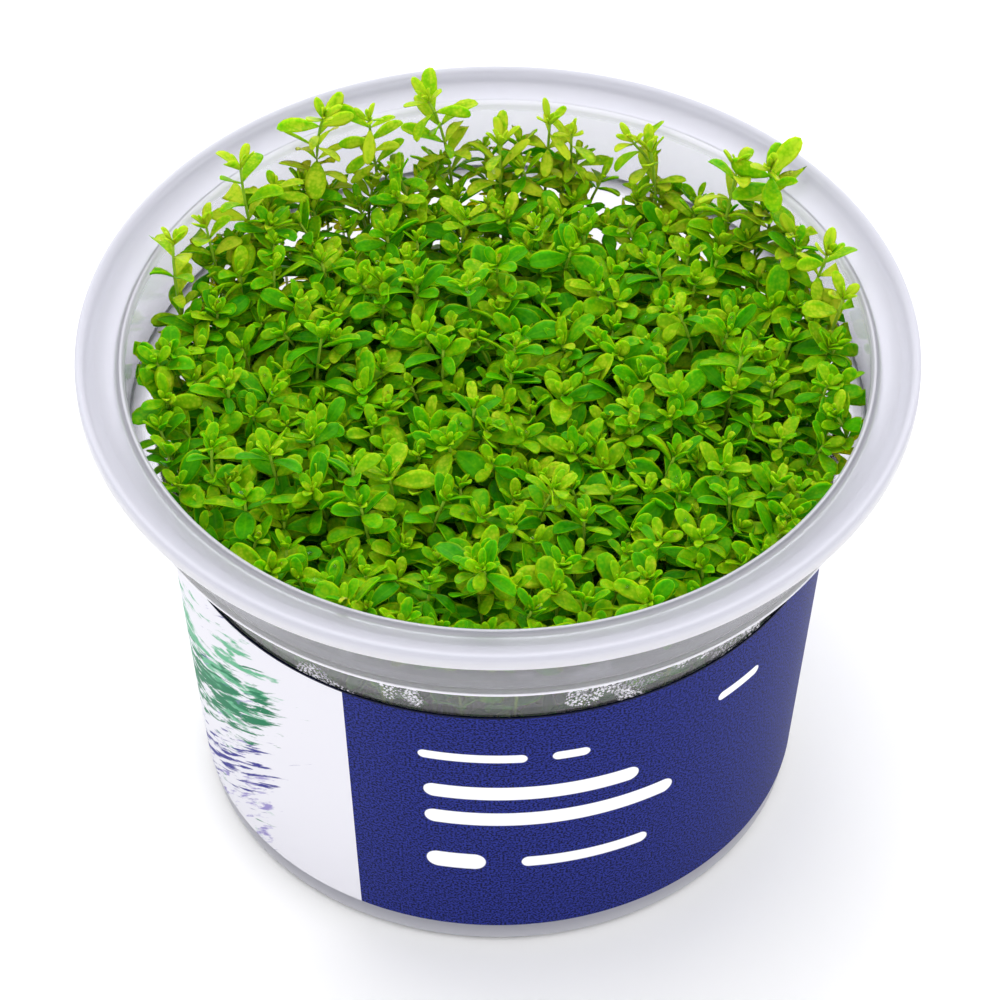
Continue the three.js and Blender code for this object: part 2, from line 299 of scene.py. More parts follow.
@dataclass(frozen=True)
class OffsetPrintedPaper:
    """Coated label paper, offset printed: solid ink with a fine grain, under a satin varnish.

    A deep blue panel carries plain bars. A white panel carries loose brush strokes of green and indigo,
    which thin out towards the blue one. A thin near-black band along the top is painted shade, standing
    for the shadowed gap under the label's top edge. The ink's grain is about 0.05 mm, too fine to show,
    so it is drawn at 0.28 mm.

    Places on the label are in millimetres: round it from its front, with the right above 0, and up from
    the ground that the cup stands on.
    """

    blue: str = "#242f87"
    blue_grain: str = "#03082c"
    white: str = "#dddce4"
    mark: str = "#f4f5fa"
    # Painted shade: from this height up the label's front is drawn near-black, standing for the shadowed gap
    # under its top edge
    gap_shade: str = "#060c26"
    gap_shade_from: float = 45.95
    grain: float = 0.28
    grain_dark: float = 0.4
    grain_pale: float = 0.58
    join: float = -18.6
    white_end: float = -82.0
    plain_from: float = -17.0
    plain_fade: float = 17.0
    plain_depth: float = 0.4
    swath_fade: float = 1.6
    stroke_detail: float = 5.0
    stroke_roughness: float = 0.6
    stroke_wobble: float = 0.4
    stroke_from: float = 0.64
    stroke_full: float = 0.72
    soft_edge: float = 0.06
    roughness: float = 0.5
    gloss: float = 0.08
    bars: tuple[Bar, ...] = (
        Bar(-9.5, 3.5, 38.0, 0.75),
        Bar(6.5, 11.0, 38.0, 0.75),
        Bar(-9.0, 17.5, 31.0, 1.25),
        Bar(-9.0, 22.5, 25.8, 1.25),
        Bar(-9.0, -1.5, 17.0, 1.5),
        Bar(3.0, 19.5, 17.0, 0.95),
        Bar(28.5, 35.5, 38.0, 0.75),
    )
    washes: tuple[Wash, ...] = (
        Wash("#62ab86", 24.0, 9.0, 1.6, 46.0, 9.0, 0.22),
        Wash("#1c7450", 30.0, 7.0, 0.9, 44.0, 6.0, 0.26),
        Wash("#2e2c84", 36.0, 10.0, 0.7, 36.0, 5.0, 0.17),
        Wash("#8f86bd", 40.0, 9.0, 1.3, 31.0, 6.0, 0.12),
    )

    def _bar(
        self, tree: bpy.types.NodeTree, place: bpy.types.NodeSocket, bar: Bar
    ) -> bpy.types.NodeSocket:
        """Draws one bar.

        Args:
            tree: the label's node tree.
            place: the place on the label, in millimetres.
            bar: the bar to draw.

        Returns:
            1 on the bar and 0 off it.
        """
        low = (bar.start + bar.radius, bar.height, 0.0)
        high = (bar.end - bar.radius, bar.height, 0.0)
        raised = add_node(tree, "VectorMath", {"operation": "MAXIMUM", 1: low}, {0: place})
        nearest = add_node(tree, "VectorMath", {"operation": "MINIMUM", 1: high}, {0: raised.outputs[0]})
        gap = add_node(tree, "VectorMath", {"operation": "DISTANCE"}, {0: place, 1: nearest.outputs[0]})
        mask = add_node(
            tree,
            "MapRange",
            {"From Min": bar.radius + self.soft_edge, "From Max": bar.radius - self.soft_edge},
            {"Value": gap.outputs["Value"]},
        )
        return mask.outputs[0]

    def _wash(
        self, tree: bpy.types.NodeTree, place: bpy.types.NodeSocket, wash: Wash
    ) -> bpy.types.NodeSocket:
        """Draws one wash.

        Args:
            tree: the label's node tree.
            place: the place on the label, in millimetres.
            wash: the wash to draw.

        Returns:
            1 in a stroke and 0 outside.
        """
        angle = math.radians(wash.angle)
        across = (-math.sin(angle), math.cos(angle), 0.0)
        stretched = add_node(
            tree,
            "Mapping",
            {
                "vector_type": "TEXTURE",
                "Location": (wash.distance, 0.0, 0.0),
                "Rotation": (0.0, 0.0, angle),
                "Scale": (wash.length, wash.width, 1.0),
            },
            {"Vector": place},
        )
        strokes = add_node(
            tree,
            "TexNoise",
            {
                "Scale": 1.0,
                "Detail": self.stroke_detail,
                "Roughness": self.stroke_roughness,
                "Distortion": self.stroke_wobble,
            },
            {"Vector": stretched.outputs[0]},
        )
        off = add_node(tree, "VectorMath", {"operation": "DOT_PRODUCT", 1: across}, {0: place})
        far = add_node(tree, "Math", {"operation": "SUBTRACT", 1: wash.distance}, {0: off.outputs["Value"]})
        side = add_node(tree, "Math", {"operation": "ABSOLUTE"}, {0: far.outputs[0]})
        swath = add_node(
            tree,
            "MapRange",
            {"From Min": wash.half_swath * self.swath_fade, "From Max": 0.0, "To Max": wash.fill},
            {"Value": side.outputs[0]},
        )
        around = add_node(tree, "SeparateXYZ", links={0: place}).outputs["X"]
        plain = add_node(
            tree,
            "MapRange",
            {
                "From Min": self.plain_from - self.plain_fade,
                "From Max": self.plain_from,
                "To Max": -self.plain_depth,
            },
            {"Value": around},
        )
        kept = add_node(tree, "Math", {"operation": "ADD"}, {0: swath.outputs[0], 1: plain.outputs[0]})
        total = add_node(tree, "Math", {"operation": "ADD"}, {0: strokes.outputs[0], 1: kept.outputs[0]})
        blot_range = {"From Min": self.stroke_from, "From Max": self.stroke_full}
        blot = add_node(tree, "MapRange", blot_range, {"Value": total.outputs[0]})
        return blot.outputs[0]

    def material(self) -> bpy.types.Material:
        """Makes the material of the label's front.

        Returns:
            The material, which reads how far round and how far up the label each point is.
        """
        material, tree, shader = new_material("offset printed label paper")
        around = add_node(tree, "Attribute", {"attribute_name": "around"}).outputs["Fac"]
        up = add_node(tree, "Attribute", {"attribute_name": "up"}).outputs["Fac"]
        place = add_node(tree, "CombineXYZ", links={"X": around, "Y": up}).outputs[0]
        speckle = add_node(tree, "TexNoise", {"Scale": 1 / self.grain, "Detail": 2.0}, {"Vector": place})
        dot_range = {"From Min": self.grain_dark, "From Max": self.grain_pale}
        dots = add_node(tree, "MapRange", dot_range, {"Value": speckle.outputs[0]})
        ink = add_node(
            tree,
            "MixRGB",
            {"Color1": linear(self.blue_grain), "Color2": linear(self.blue)},
            {"Fac": dots.outputs[0]},
        )
        colour = ink.outputs[0]
        for bar in self.bars:
            drawn = self._bar(tree, place, bar)
            colour = add_node(
                tree, "MixRGB", {"Color2": linear(self.mark)}, {"Fac": drawn, "Color1": colour}
            ).outputs[0]
        paper = add_node(tree, "RGB")
        paper.outputs[0].default_value = linear(self.white)
        for wash in self.washes:
            drawn = self._wash(tree, place, wash)
            paper = add_node(
                tree, "MixRGB", {"Color2": linear(wash.colour)}, {"Fac": drawn, "Color1": paper.outputs[0]}
            )
        left = add_node(tree, "Math", {"operation": "LESS_THAN", 1: self.join}, {0: around})
        right = add_node(tree, "Math", {"operation": "GREATER_THAN", 1: self.white_end}, {0: around})
        panel = add_node(tree, "Math", {"operation": "MULTIPLY"}, {0: left.outputs[0], 1: right.outputs[0]})
        whole = add_node(
            tree, "MixRGB", links={"Fac": panel.outputs[0], "Color1": colour, "Color2": paper.outputs[0]}
        )
        # Painted shade: the top band is drawn near-black for the shadowed gap under the label's edge
        shade_band = add_node(tree, "Math", {"operation": "GREATER_THAN", 1: self.gap_shade_from}, {0: up})
        shaded_top = add_node(
            tree,
            "MixRGB",
            {"Color2": linear(self.gap_shade)},
            {"Fac": shade_band.outputs[0], "Color1": whole.outputs[0]},
        )
        tree.links.new(shaded_top.outputs[0], shader.inputs["Base Color"])
        shader.inputs["Roughness"].default_value = self.roughness
        shader.inputs["Specular IOR Level"].default_value = self.gloss
        return material


@dataclass(frozen=True)
class UncoatedPaperBack:
    """The label's uncoated, unprinted back: white paper under clear glue, seen from inside the cup.

    It throws a soft white light back into the cup. Paper's fibres are finer than 0.1 mm, so their mottle is
    drawn at 0.5 mm.
    """

    white: str = "#f0f0ec"
    shade: str = "#e4e4e0"
    fibre: float = 0.5
    roughness: float = 0.7

    def material(self) -> bpy.types.Material:
        """Makes the material of the label's back.

        Returns:
            The material.
        """
        material, tree, shader = new_material("uncoated white paper")
        place = add_node(tree, "NewGeometry").outputs["Position"]
        grain = {"Scale": per_metre(self.fibre), "Detail": 2.0}
        fibre = add_node(tree, "TexNoise", grain, {"Vector": place})
        colour = add_node(
            tree,
            "MixRGB",
            {"Color1": linear(self.white), "Color2": linear(self.shade)},
            {"Fac": fibre.outputs[0]},
        )
        tree.links.new(colour.outputs[0], shader.inputs["Base Color"])
        shader.inputs["Roughness"].default_value = self.roughness
        return material


@dataclass(frozen=True)
class SetAgarGel:
    """Agar poured hot and set: a soft clear gel, faintly yellow where it is thick, with a wet shine."""

    colour: str = "#f4f3e2"
    ior: float = 1.34
    roughness: float = 0.12
    cloud: float = 6.0
    unevenness: float = 0.2
    unevenness_strength: float = 0.15

    def material(self) -> bpy.types.Material:
        """Makes the gel's material.

        Returns:
            The material, which reads each point's clearness.
        """
        material, tree, shader = new_material("set agar gel")
        place = add_node(tree, "NewGeometry").outputs["Position"]
        clouds = {"Scale": per_metre(self.cloud), "Detail": 3.0}
        cloud = add_node(tree, "TexNoise", clouds, {"Vector": place})
        relief = {"Strength": self.unevenness_strength, "Distance": self.unevenness * MM}
        bump = add_node(tree, "Bump", relief, {"Height": cloud.outputs[0]})
        tree.links.new(bump.outputs[0], shader.inputs["Normal"])
        clear = add_node(tree, "Attribute", {"attribute_name": "clear"})
        tree.links.new(clear.outputs["Fac"], shader.inputs["Transmission Weight"])
        shader.inputs["Base Color"].default_value = linear(self.colour)
        shader.inputs["Roughness"].default_value = self.roughness
        shader.inputs["IOR"].default_value = self.ior
        return material


@dataclass(frozen=True)
class LivingLeafTissue:
    """A living leaf blade, grown in damp air: thin, soft and full of water.

    Light shines through it and its thin skin has a low gloss. Young leaves are yellow-green and old ones
    deep green; the old leaves' dark colour, which the low leaves of the cushion take, is partly painted
    shade for the shade among the stems. The margin is drawn as a thin pale line. Real cells are about
    0.05 mm, too fine to show, so their net is drawn at 0.42 mm.
    """

    tender: str = "#b0c424"
    young: str = "#84b206"
    grown: str = "#489c00"
    # Partly painted shade: the old leaves' colour is darkened for the shade down among the stems
    old: str = "#147400"
    margin: str = "#9fe600"
    vein: str = "#74b400"
    young_age: float = 0.2
    grown_age: float = 0.5
    roughness: float = 0.38
    gloss: float = 0.04
    blotch: float = 1.4
    blotch_depth: float = 0.3
    tissue_cell: float = 0.42
    cell_middle: float = -0.14
    cell_edge: float = 0.16
    margin_from: float = 0.8
    margin_full: float = 0.97
    margin_share: float = 0.5
    vein_width: float = 0.14
    vein_share: float = 0.25
    relief: float = 0.07
    relief_strength: float = 0.5
    glow: float = 0.55
    glow_reach: float = 1.0
    glow_by_colour: tuple[float, float, float] = (0.4, 1.0, 0.1)

    def material(self) -> bpy.types.Material:
        """Makes the leaves' material.

        Returns:
            The material, which reads each leaf's age and how far each point is from its midrib.
        """
        material, tree, shader = new_material("living leaf tissue")
        age = add_node(tree, "Attribute", {"attribute_name": "age"}).outputs["Fac"]
        across = add_node(tree, "Attribute", {"attribute_name": "across"}).outputs["Fac"]
        place = add_node(tree, "NewGeometry").outputs["Position"]
        blotches = {"Scale": per_metre(self.blotch), "Detail": 1.0}
        blotch = add_node(tree, "TexNoise", blotches, {"Vector": place})
        shift_range = {"To Min": -self.blotch_depth, "To Max": self.blotch_depth}
        shift = add_node(tree, "MapRange", shift_range, {"Value": blotch.outputs[0]})
        net = add_node(tree, "TexVoronoi", {"Scale": per_metre(self.tissue_cell)}, {"Vector": place})
        cell_range = {"To Min": self.cell_middle, "To Max": self.cell_edge}
        cell = add_node(tree, "MapRange", cell_range, {"Value": net.outputs["Distance"]})
        mottle = add_node(tree, "Math", {"operation": "ADD"}, {0: shift.outputs[0], 1: cell.outputs[0]})
        mottled = add_node(tree, "Math", {"operation": "ADD"}, {0: age, 1: mottle.outputs[0]})
        ramp = add_node(tree, "ValToRGB", links={"Fac": mottled.outputs[0]})
        ramp.color_ramp.elements[0].color = linear(self.tender)
        ramp.color_ramp.elements[1].color = linear(self.old)
        for stop, colour in ((self.young_age, self.young), (self.grown_age, self.grown)):
            ramp.color_ramp.elements.new(stop).color = linear(colour)
        rib_range = {"From Min": self.vein_width, "From Max": 0.0, "To Max": self.vein_share}
        rib = add_node(tree, "MapRange", rib_range, {"Value": across})
        edge = add_node(
            tree,
            "MapRange",
            {"From Min": self.margin_from, "From Max": self.margin_full, "To Max": self.margin_share},
            {"Value": across},
        )
        colour = ramp.outputs[0]
        for line, share in ((self.vein, rib), (self.margin, edge)):
            links = {"Fac": share.outputs[0], "Color1": colour}
            mix = add_node(tree, "MixRGB", {"Color2": linear(line)}, links)
            colour = mix.outputs[0]
        skin = {"Strength": self.relief_strength, "Distance": self.relief * MM}
        bump = add_node(tree, "Bump", skin, {"Height": blotch.outputs[0]})
        tree.links.new(colour, shader.inputs["Base Color"])
        tree.links.new(bump.outputs[0], shader.inputs["Normal"])
        shader.inputs["Subsurface Weight"].default_value = self.glow
        shader.inputs["Subsurface Radius"].default_value = self.glow_by_colour
        shader.inputs["Subsurface Scale"].default_value = self.glow_reach * MM
        shader.inputs["Roughness"].default_value = self.roughness
        shader.inputs["Specular IOR Level"].default_value = self.gloss
        return material


@dataclass(frozen=True)
class LivingStemTissue:
    """A living stem, grown in damp air: watery, in patches of paler and darker green, with a soft shine."""

    pale: str = "#a4c03a"
    green: str = "#5c9410"
    patch: float = 1.8
    roughness: float = 0.4
    gloss: float = 0.1
    glow: float = 0.4
    glow_reach: float = 0.8
    glow_by_colour: tuple[float, float, float] = (0.8, 1.0, 0.3)

    def material(self) -> bpy.types.Material:
        """Makes the stems' material.

        Returns:
            The material.
        """
        material, tree, shader = new_material("living stem tissue")
        place = add_node(tree, "NewGeometry").outputs["Position"]
        patches = {"Scale": per_metre(self.patch), "Detail": 2.0}
        patch = add_node(tree, "TexNoise", patches, {"Vector": place})
        colour = add_node(
            tree,
            "MixRGB",
            {"Color1": linear(self.pale), "Color2": linear(self.green)},
            {"Fac": patch.outputs[0]},
        )
        tree.links.new(colour.outputs[0], shader.inputs["Base Color"])
        shader.inputs["Subsurface Weight"].default_value = self.glow
        shader.inputs["Subsurface Radius"].default_value = self.glow_by_colour
        shader.inputs["Subsurface Scale"].default_value = self.glow_reach * MM
        shader.inputs["Roughness"].default_value = self.roughness
        shader.inputs["Specular IOR Level"].default_value = self.gloss
        return material


@dataclass(frozen=True)
class StandingWater:
    """Clean water in small drops, drawn round and smooth by its own skin, so each holds a bright point."""

    colour: str = "#ffffff"
    ior: float = 1.33
    roughness: float = 0.02
    ripple: float = 0.6
    relief: float = 0.02
    relief_strength: float = 0.1

    def material(self) -> bpy.types.Material:
        """Makes the water's material.

        Returns:
            The material.
        """
        material, tree, shader = new_material("standing water")
        place = add_node(tree, "NewGeometry").outputs["Position"]
        ripples = {"Scale": per_metre(self.ripple), "Detail": 0.0}
        ripple = add_node(tree, "TexNoise", ripples, {"Vector": place})
        skin = {"Strength": self.relief_strength, "Distance": self.relief * MM}
        bump = add_node(tree, "Bump", skin, {"Height": ripple.outputs[0]})
        tree.links.new(bump.outputs[0], shader.inputs["Normal"])
        shader.inputs["Base Color"].default_value = linear(self.colour)
        shader.inputs["Transmission Weight"].default_value = 1.0
        shader.inputs["Roughness"].default_value = self.roughness
        shader.inputs["IOR"].default_value = self.ior
        return material


@dataclass(frozen=True)
class MattStudioPaper:
    """White background paper, rolled and uncoated, so it is matt and mirrors no lamp.

    Its real tooth is about 0.1 mm, too fine to show, so it is drawn at 1.5 mm.
    """

    colour: str = "#fcfcfc"
    tooth: float = 1.5
    relief: float = 0.05
    relief_strength: float = 0.05
    roughness: float = 0.9

    def material(self) -> bpy.types.Material:
        """Makes the floor's material.

        Returns:
            The material.
        """
        material, tree, shader = new_material("matt studio paper")
        place = add_node(tree, "NewGeometry").outputs["Position"]
        grain = {"Scale": per_metre(self.tooth), "Detail": 0.0}
        tooth = add_node(tree, "TexNoise", grain, {"Vector": place})
        skin = {"Strength": self.relief_strength, "Distance": self.relief * MM}
        bump = add_node(tree, "Bump", skin, {"Height": tooth.outputs[0]})
        tree.links.new(bump.outputs[0], shader.inputs["Normal"])
        shader.inputs["Base Color"].default_value = linear(self.colour)
        shader.inputs["Roughness"].default_value = self.roughness
        return material


@dataclass
class MeshDraft:
    """A mesh as it is built up: points in millimetres, faces, and a value of each kind for every point."""

    points: list = field(default_factory=list)
    faces: list = field(default_factory=list)
    finishes: list = field(default_factory=list)
    values: dict = field(default_factory=dict)
    count: int = 0

    def add(self, points: np.ndarray, faces: list, finish: int = 0, **values: np.ndarray | float) -> None:
        """Adds points and the faces between them.

        Args:
            points: the new points, one row each.
            faces: the new faces, numbered from the first new point.
            finish: which of the piece's materials the faces take.
            values: one value for each point, or one for all of them, by the attribute's name.
        """
        self.points.append(points)
        self.faces.extend([self.count + i for i in face] for face in faces)
        self.finishes.extend([finish] * len(faces))
        for name, value in values.items():
            self.values.setdefault(name, []).append(np.broadcast_to(value, len(points)))
        self.count += len(points)

    def build(self, name: str, materials: list, slot: Slot, nodes: tuple[str, ...]) -> bpy.types.Object:
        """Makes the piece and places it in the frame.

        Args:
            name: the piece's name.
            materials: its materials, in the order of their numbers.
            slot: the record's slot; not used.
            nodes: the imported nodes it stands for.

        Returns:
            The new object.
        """
        mesh = bpy.data.meshes.new(name)
        mesh.from_pydata((np.concatenate(self.points) * MM).tolist(), [], self.faces)
        for attribute, parts in self.values.items():
            layer = mesh.attributes.new(attribute, "FLOAT", "POINT")
            layer.data.foreach_set("value", np.concatenate(parts).astype(np.float32))
        for material in materials:
            mesh.materials.append(material)
        mesh.polygons.foreach_set("material_index", self.finishes)
        mesh.shade_smooth()
        piece = bpy.data.objects.new(name, mesh)
        bpy.context.scene.collection.objects.link(piece)
        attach(piece, BODY)
        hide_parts(*nodes)
        log.info("%s: %d faces for %s", name, len(self.faces), ", ".join(nodes))
        return piece


@dataclass(frozen=True)
class Corner:
    """A corner of a turned profile: distance from the axis, height, and the radius that rounds it.

    Its clearness is the share of light that goes straight through beside it, and its edge the same in the
    middle of the rounding; a milky edge there shows as a white line, partly painted highlight. Its
    thinness is 1 where the plastic takes nearly nothing from the light; lower thinness gives a darker
    tint, which at the foot is painted shade.
    """

    out: float
    up: float
    rounding: float = 0.0
    clear: float = 0.9
    edge: float = 0.9
    thin: float = 1.0


def rounded(
    corners: list[Corner], steps: int = 6, most: float = 0.45
) -> list[tuple[float, float, float, float]]:
    """Rounds the corners of a profile.

    Args:
        corners: the profile's corners, in order.
        steps: how many stretches each rounding has.
        most: the largest share of a side that a rounding may take up.

    Returns:
        The profile's points, as distance from the axis, height, clearness and thinness.
    """
    points = []
    for index, corner in enumerate(corners):
        here = Vector((corner.out, corner.up))
        if corner.rounding == 0 or index in (0, len(corners) - 1):
            points.append((*here, corner.clear, corner.thin))
            continue
        before = Vector((corners[index - 1].out, corners[index - 1].up)) - here
        after = Vector((corners[index + 1].out, corners[index + 1].up)) - here
        reach = min(corner.rounding, before.length * most, after.length * most)
        start = here + before.normalized() * reach
        end = here + after.normalized() * reach
        for step in range(steps + 1):
            t = step / steps
            place = start * (1 - t) ** 2 + here * 2 * t * (1 - t) + end * t * t
            middle = 1 - abs(2 * t - 1)
            clear = corner.clear + (corner.edge - corner.clear) * middle
            points.append((*place, clear, corner.thin))
    return points


def turn(draft: MeshDraft, profile: list[tuple[float, float, float, float]], segments: int) -> None:
    """Turns a profile that starts and ends on the axis into a closed mesh.

    Args:
        draft: the mesh that gets it.
        profile: distance from the axis, height, clearness and thinness of each point.
        segments: how many facets go round.
    """
    ring = profile[1:-1]
    angles = np.arange(segments) * 2 * math.pi / segments
    rows = [
        np.stack([out * np.cos(angles), out * np.sin(angles), np.full(segments, up)], 1)
        for out, up, _, _ in ring
    ]
    ends = np.array([[0, 0, profile[0][1]], [0, 0, profile[-1][1]]])
    first = len(ring) * segments
    faces = []
    for i in range(segments):
        j = (i + 1) % segments
        faces.append([first, j, i])
        for row in range(len(ring) - 1):
            low = row * segments
            high = low + segments
            faces.append([low + i, low + j, high + j, high + i])
        last = (len(ring) - 1) * segments
        faces.append([last + i, last + j, first + 1])
    order = [*np.repeat(np.arange(1, len(ring) + 1), segments), 0, len(ring) + 1]
    clear = np.array([profile[i][2] for i in order])
    thin = np.array([profile[i][3] for i in order])
    draft.add(np.concatenate([*rows, ends]), faces, clear=clear, thin=thin)


@dataclass(frozen=True)
class CultureCup:
    """The open cup: foot ring, tapered wall, ledge, collar, rising flange with a turned-down lip, and bead.

    The flange haze gives where the flange turns from milky to clear: how far in from the rim, how far below
    it, and the clearness and thinness there. The plants' room widens above the ledge and above the rim,
    each time over the bend height, and the overhang is how far it reaches out over the flange.
    """

    segments: int = 256
    rim_radius: float = 52.0
    rim_height: float = 67.7
    mouth_radius: float = 45.9
    mouth_height: float = 66.3
    wall: float = 0.9
    lip_depth: float = 2.4
    lip_width: float = 1.1
    bead_width: float = 0.9
    bead_rise: float = 0.35
    collar_top_radius: float = 46.9
    collar_bottom_radius: float = 46.5
    ledge_height: float = 55.0
    ledge_radius: float = 42.3
    base_radius: float = 37.05
    base_edge: float = 0.9
    foot_width: float = 4.6
    base_recess: float = 1.2
    # Painted shade: the wall is darker from the foot up to this height, standing for the shade where the cup
    # meets the floor
    foot_haze_and_shade_top: float = 3.4
    clear_wall_from: float = 5.0
    ledge_width: float = 1.0
    ledge_edge: float = 0.8
    ledge_edge_step: float = 0.02
    rim_thickening: float = 0.3
    lip_slant: float = 0.1
    bead_foot_share: float = 0.4
    mouth_edge: float = 1.2
    mouth_draft: float = 0.04
    floor_rounding: float = 1.6
    bend_height: float = 1.5
    overhang: float = 8.0
    flange_haze: tuple[tuple[float, float, float, float], ...] = (
        (1.3, 0.28, 0.36, 0.26),
        (2.1, 0.46, 0.48, 0.25),
        (2.7, 0.6, 0.68, 0.26),
    )

    def wall_radius(self, height: float) -> float:
        """Gives the outside radius of the tapered wall at a height."""
        share = (height - self.base_edge) / (self.ledge_height - self.base_edge)
        return self.base_radius + (self.ledge_radius - self.base_radius) * share

    def room(self, height: np.ndarray, clearance: float) -> np.ndarray:
        """Gives how far from the axis the plants may reach inside the cup.

        Args:
            height: heights in millimetres.
            clearance: the gap to the wall.

        Returns:
            The greatest distance from the axis at each height.
        """
        ledge_top = self.ledge_height + self.wall
        tapered = self.wall_radius(height) - self.wall
        collar = self.collar_bottom_radius - self.wall
        step = np.clip((height - ledge_top - clearance) / self.bend_height, 0, 1)
        above = np.clip((height - self.rim_height) / self.bend_height, 0, 1)
        inside = tapered + (collar - tapered) * step - clearance
        return inside + above * self.overhang

    def corners(self) -> list[Corner]:
        """Gives the corners of the cup's profile.

        Returns:
            The corners, from the middle of the underside up the outside, over the rim and down the inside.
        """
        floor_top = self.base_recess + self.wall
        floor_edge = self.wall_radius(floor_top) - self.wall
        ledge_top = self.ledge_height + self.wall
        foot_inside = self.base_radius - self.foot_width
        rim_inside = self.rim_radius - self.lip_width
        lip_bottom = self.rim_height - self.lip_depth
        flange_bottom = self.rim_height - self.wall - self.rim_thickening
        flange_foot = self.mouth_radius + self.bead_width
        bead_foot = self.mouth_height + self.bead_rise * self.bead_foot_share
        bead_middle = flange_foot - self.bead_width / 2
        mouth_inside = self.mouth_radius - self.mouth_draft
        edge_height = self.ledge_height + self.ledge_edge
        underside = [
            Corner(0, self.base_recess, 0, 0.6, 0.6, 0.7),
            Corner(foot_inside - self.base_recess, self.base_recess, 0.6, 0.6, 0.5, 0.7),
            Corner(foot_inside, 0, 0.5, 0.5, 0.4, 0.7),
            # Painted shade: the low thinness here and up the wall to just below the label darkens the foot,
            # standing for the shade where the cup meets the floor
            Corner(self.base_radius - self.base_edge, 0, 0.6, 0.5, 0.4, 0.3),
            Corner(self.base_radius, self.base_edge, 0.6, 0.4, 0.3, 0.45),
        ]
        wall = [
            Corner(self.wall_radius(self.foot_haze_and_shade_top), self.foot_haze_and_shade_top, 0.2, 0.5, 0.5, 0.25),
            Corner(self.wall_radius(self.clear_wall_from), self.clear_wall_from, 0.2, 0.96, 0.96, 0.8),
            Corner(self.ledge_radius, self.ledge_height, 0.5, 0.96, 0.92, 0.8),
        ]
        ledge = [
            Corner(self.ledge_radius + self.ledge_width, self.ledge_height, 0.2, 0.9, 0.9, 0.8),
            # Partly painted highlight: the ledge's outer corner is milky all through its rounding, so it
            # shows as a white line for the gloss the rounding catches as well as the light scattered at the
            # edge
            Corner(self.collar_bottom_radius, self.ledge_height, 0.5, 0.0, 0.0, 0.7),
            Corner(self.collar_bottom_radius + self.ledge_edge_step, edge_height, 0.1, 0.8, 0.8, 0.75),
        ]
        flange_under = [
            Corner(self.collar_top_radius, self.mouth_height - self.wall, 0.7, 0.96, 0.96, 0.7),
            Corner(rim_inside, flange_bottom, 0.6, 0.3, 0.2, 1.0),
            Corner(rim_inside, lip_bottom + self.lip_slant, 0.2, 0.1, 0.1, 1.0),
            # Partly painted highlight: the lip's lower edge turns milky in the middle of its rounding and
            # shows as a white line
            Corner(self.rim_radius - self.lip_slant, lip_bottom, 0.4, 0.4, 0.0, 0.9),
        ]
        rim = [Corner(self.rim_radius, self.rim_height, 0.9, 0.12, 0.12, 0.32)]
        for inward, below, clear, thin in self.flange_haze:
            rim.append(Corner(self.rim_radius - inward, self.rim_height - below, 0.1, clear, clear, thin))
        mouth = [
            Corner(flange_foot, bead_foot, 0.5, 0.7, 0.7, 0.26),
            # Partly painted highlight: the bead turns milky in the middle of its rounding and shows as a
            # pale line
            Corner(bead_middle, self.mouth_height + self.bead_rise, 0.4, 0.5, 0.3, 0.5),
            Corner(self.mouth_radius, self.mouth_height, 0.4, 0.55, 0.5, 0.5),
            Corner(mouth_inside, self.mouth_height - self.mouth_edge, 0.1, 0.86, 0.86, 0.42),
        ]
        inside = [
            Corner(self.collar_bottom_radius - self.wall, ledge_top, 0.6, 0.86, 0.7, 0.5),
            Corner(self.wall_radius(ledge_top) - self.wall, ledge_top, 0.8, 0.96, 0.96, 0.9),
            Corner(floor_edge, floor_top, self.floor_rounding, 0.9, 0.9, 0.9),
            Corner(0, floor_top, 0, 0.9, 0.9, 0.9),
        ]
        return [*underside, *wall, *ledge, *flange_under, *rim, *mouth, *inside]

    def build(self, material: bpy.types.Material) -> bpy.types.Object:
        """Builds the cup.

        Args:
            material: the cup's plastic.

        Returns:
            The cup.
        """
        draft = MeshDraft()
        turn(draft, rounded(self.corners()), self.segments)
        return draft.build("cup_shell", [material], Slot.CUP, ("cup",))


@dataclass(frozen=True)
class WrapLabel:
    """The label: one strip round the tapered wall, whose two ends meet at the back with a small gap."""

    segments: int = 240
    bottom: float = 3.8
    top: float = 46.2
    thickness: float = 0.2
    clearance: float = 0.05
    end_gap: float = 2.0
    sharp_angle: float = 40.0

    def build(
        self, cup: CultureCup, front: bpy.types.Material, back: bpy.types.Material
    ) -> bpy.types.Object:
        """Builds the label.

        Args:
            cup: the cup it is wrapped round.
            front: its printed front.
            back: its unprinted back, which faces the cup.

        Returns:
            The label.
        """
        half = math.pi - self.end_gap / 2 / cup.wall_radius(self.top)
        angles = np.linspace(-half, half, self.segments + 1)
        inner = self.clearance
        outer = self.clearance + self.thickness
        corners = [(inner, self.bottom), (inner, self.top), (outer, self.top), (outer, self.bottom)]
        rings = []
        around = []
        for angle in angles:
            for offset, z in corners:
                radius = cup.wall_radius(z) + offset
                rings.append([radius * math.sin(angle), -radius * math.cos(angle), z])
                around.append(angle * cup.wall_radius((self.top + self.bottom) / 2))
        faces = []
        sides = len(corners)
        for row in range(self.segments):
            for side in range(sides):
                a = sides * row + side
                b = sides * row + (side + 1) % sides
                faces.append([a, b, b + sides, a + sides])
        last = sides * self.segments
        faces.append(list(range(sides))[::-1])
        faces.append(list(range(last, last + sides)))
        points = np.array(rings)
        draft = MeshDraft()
        draft.add(points, faces, around=np.array(around), up=points[:, 2])
        # The first side of each row faces the cup and takes the back's material
        draft.finishes = [int(number % sides == 0) for number in range(last)] + [0, 0]
        label = draft.build("label_wrap", [front, back], Slot.LABEL, ("label",))
        label.data.set_sharp_from_angle(angle=math.radians(self.sharp_angle))
        return label


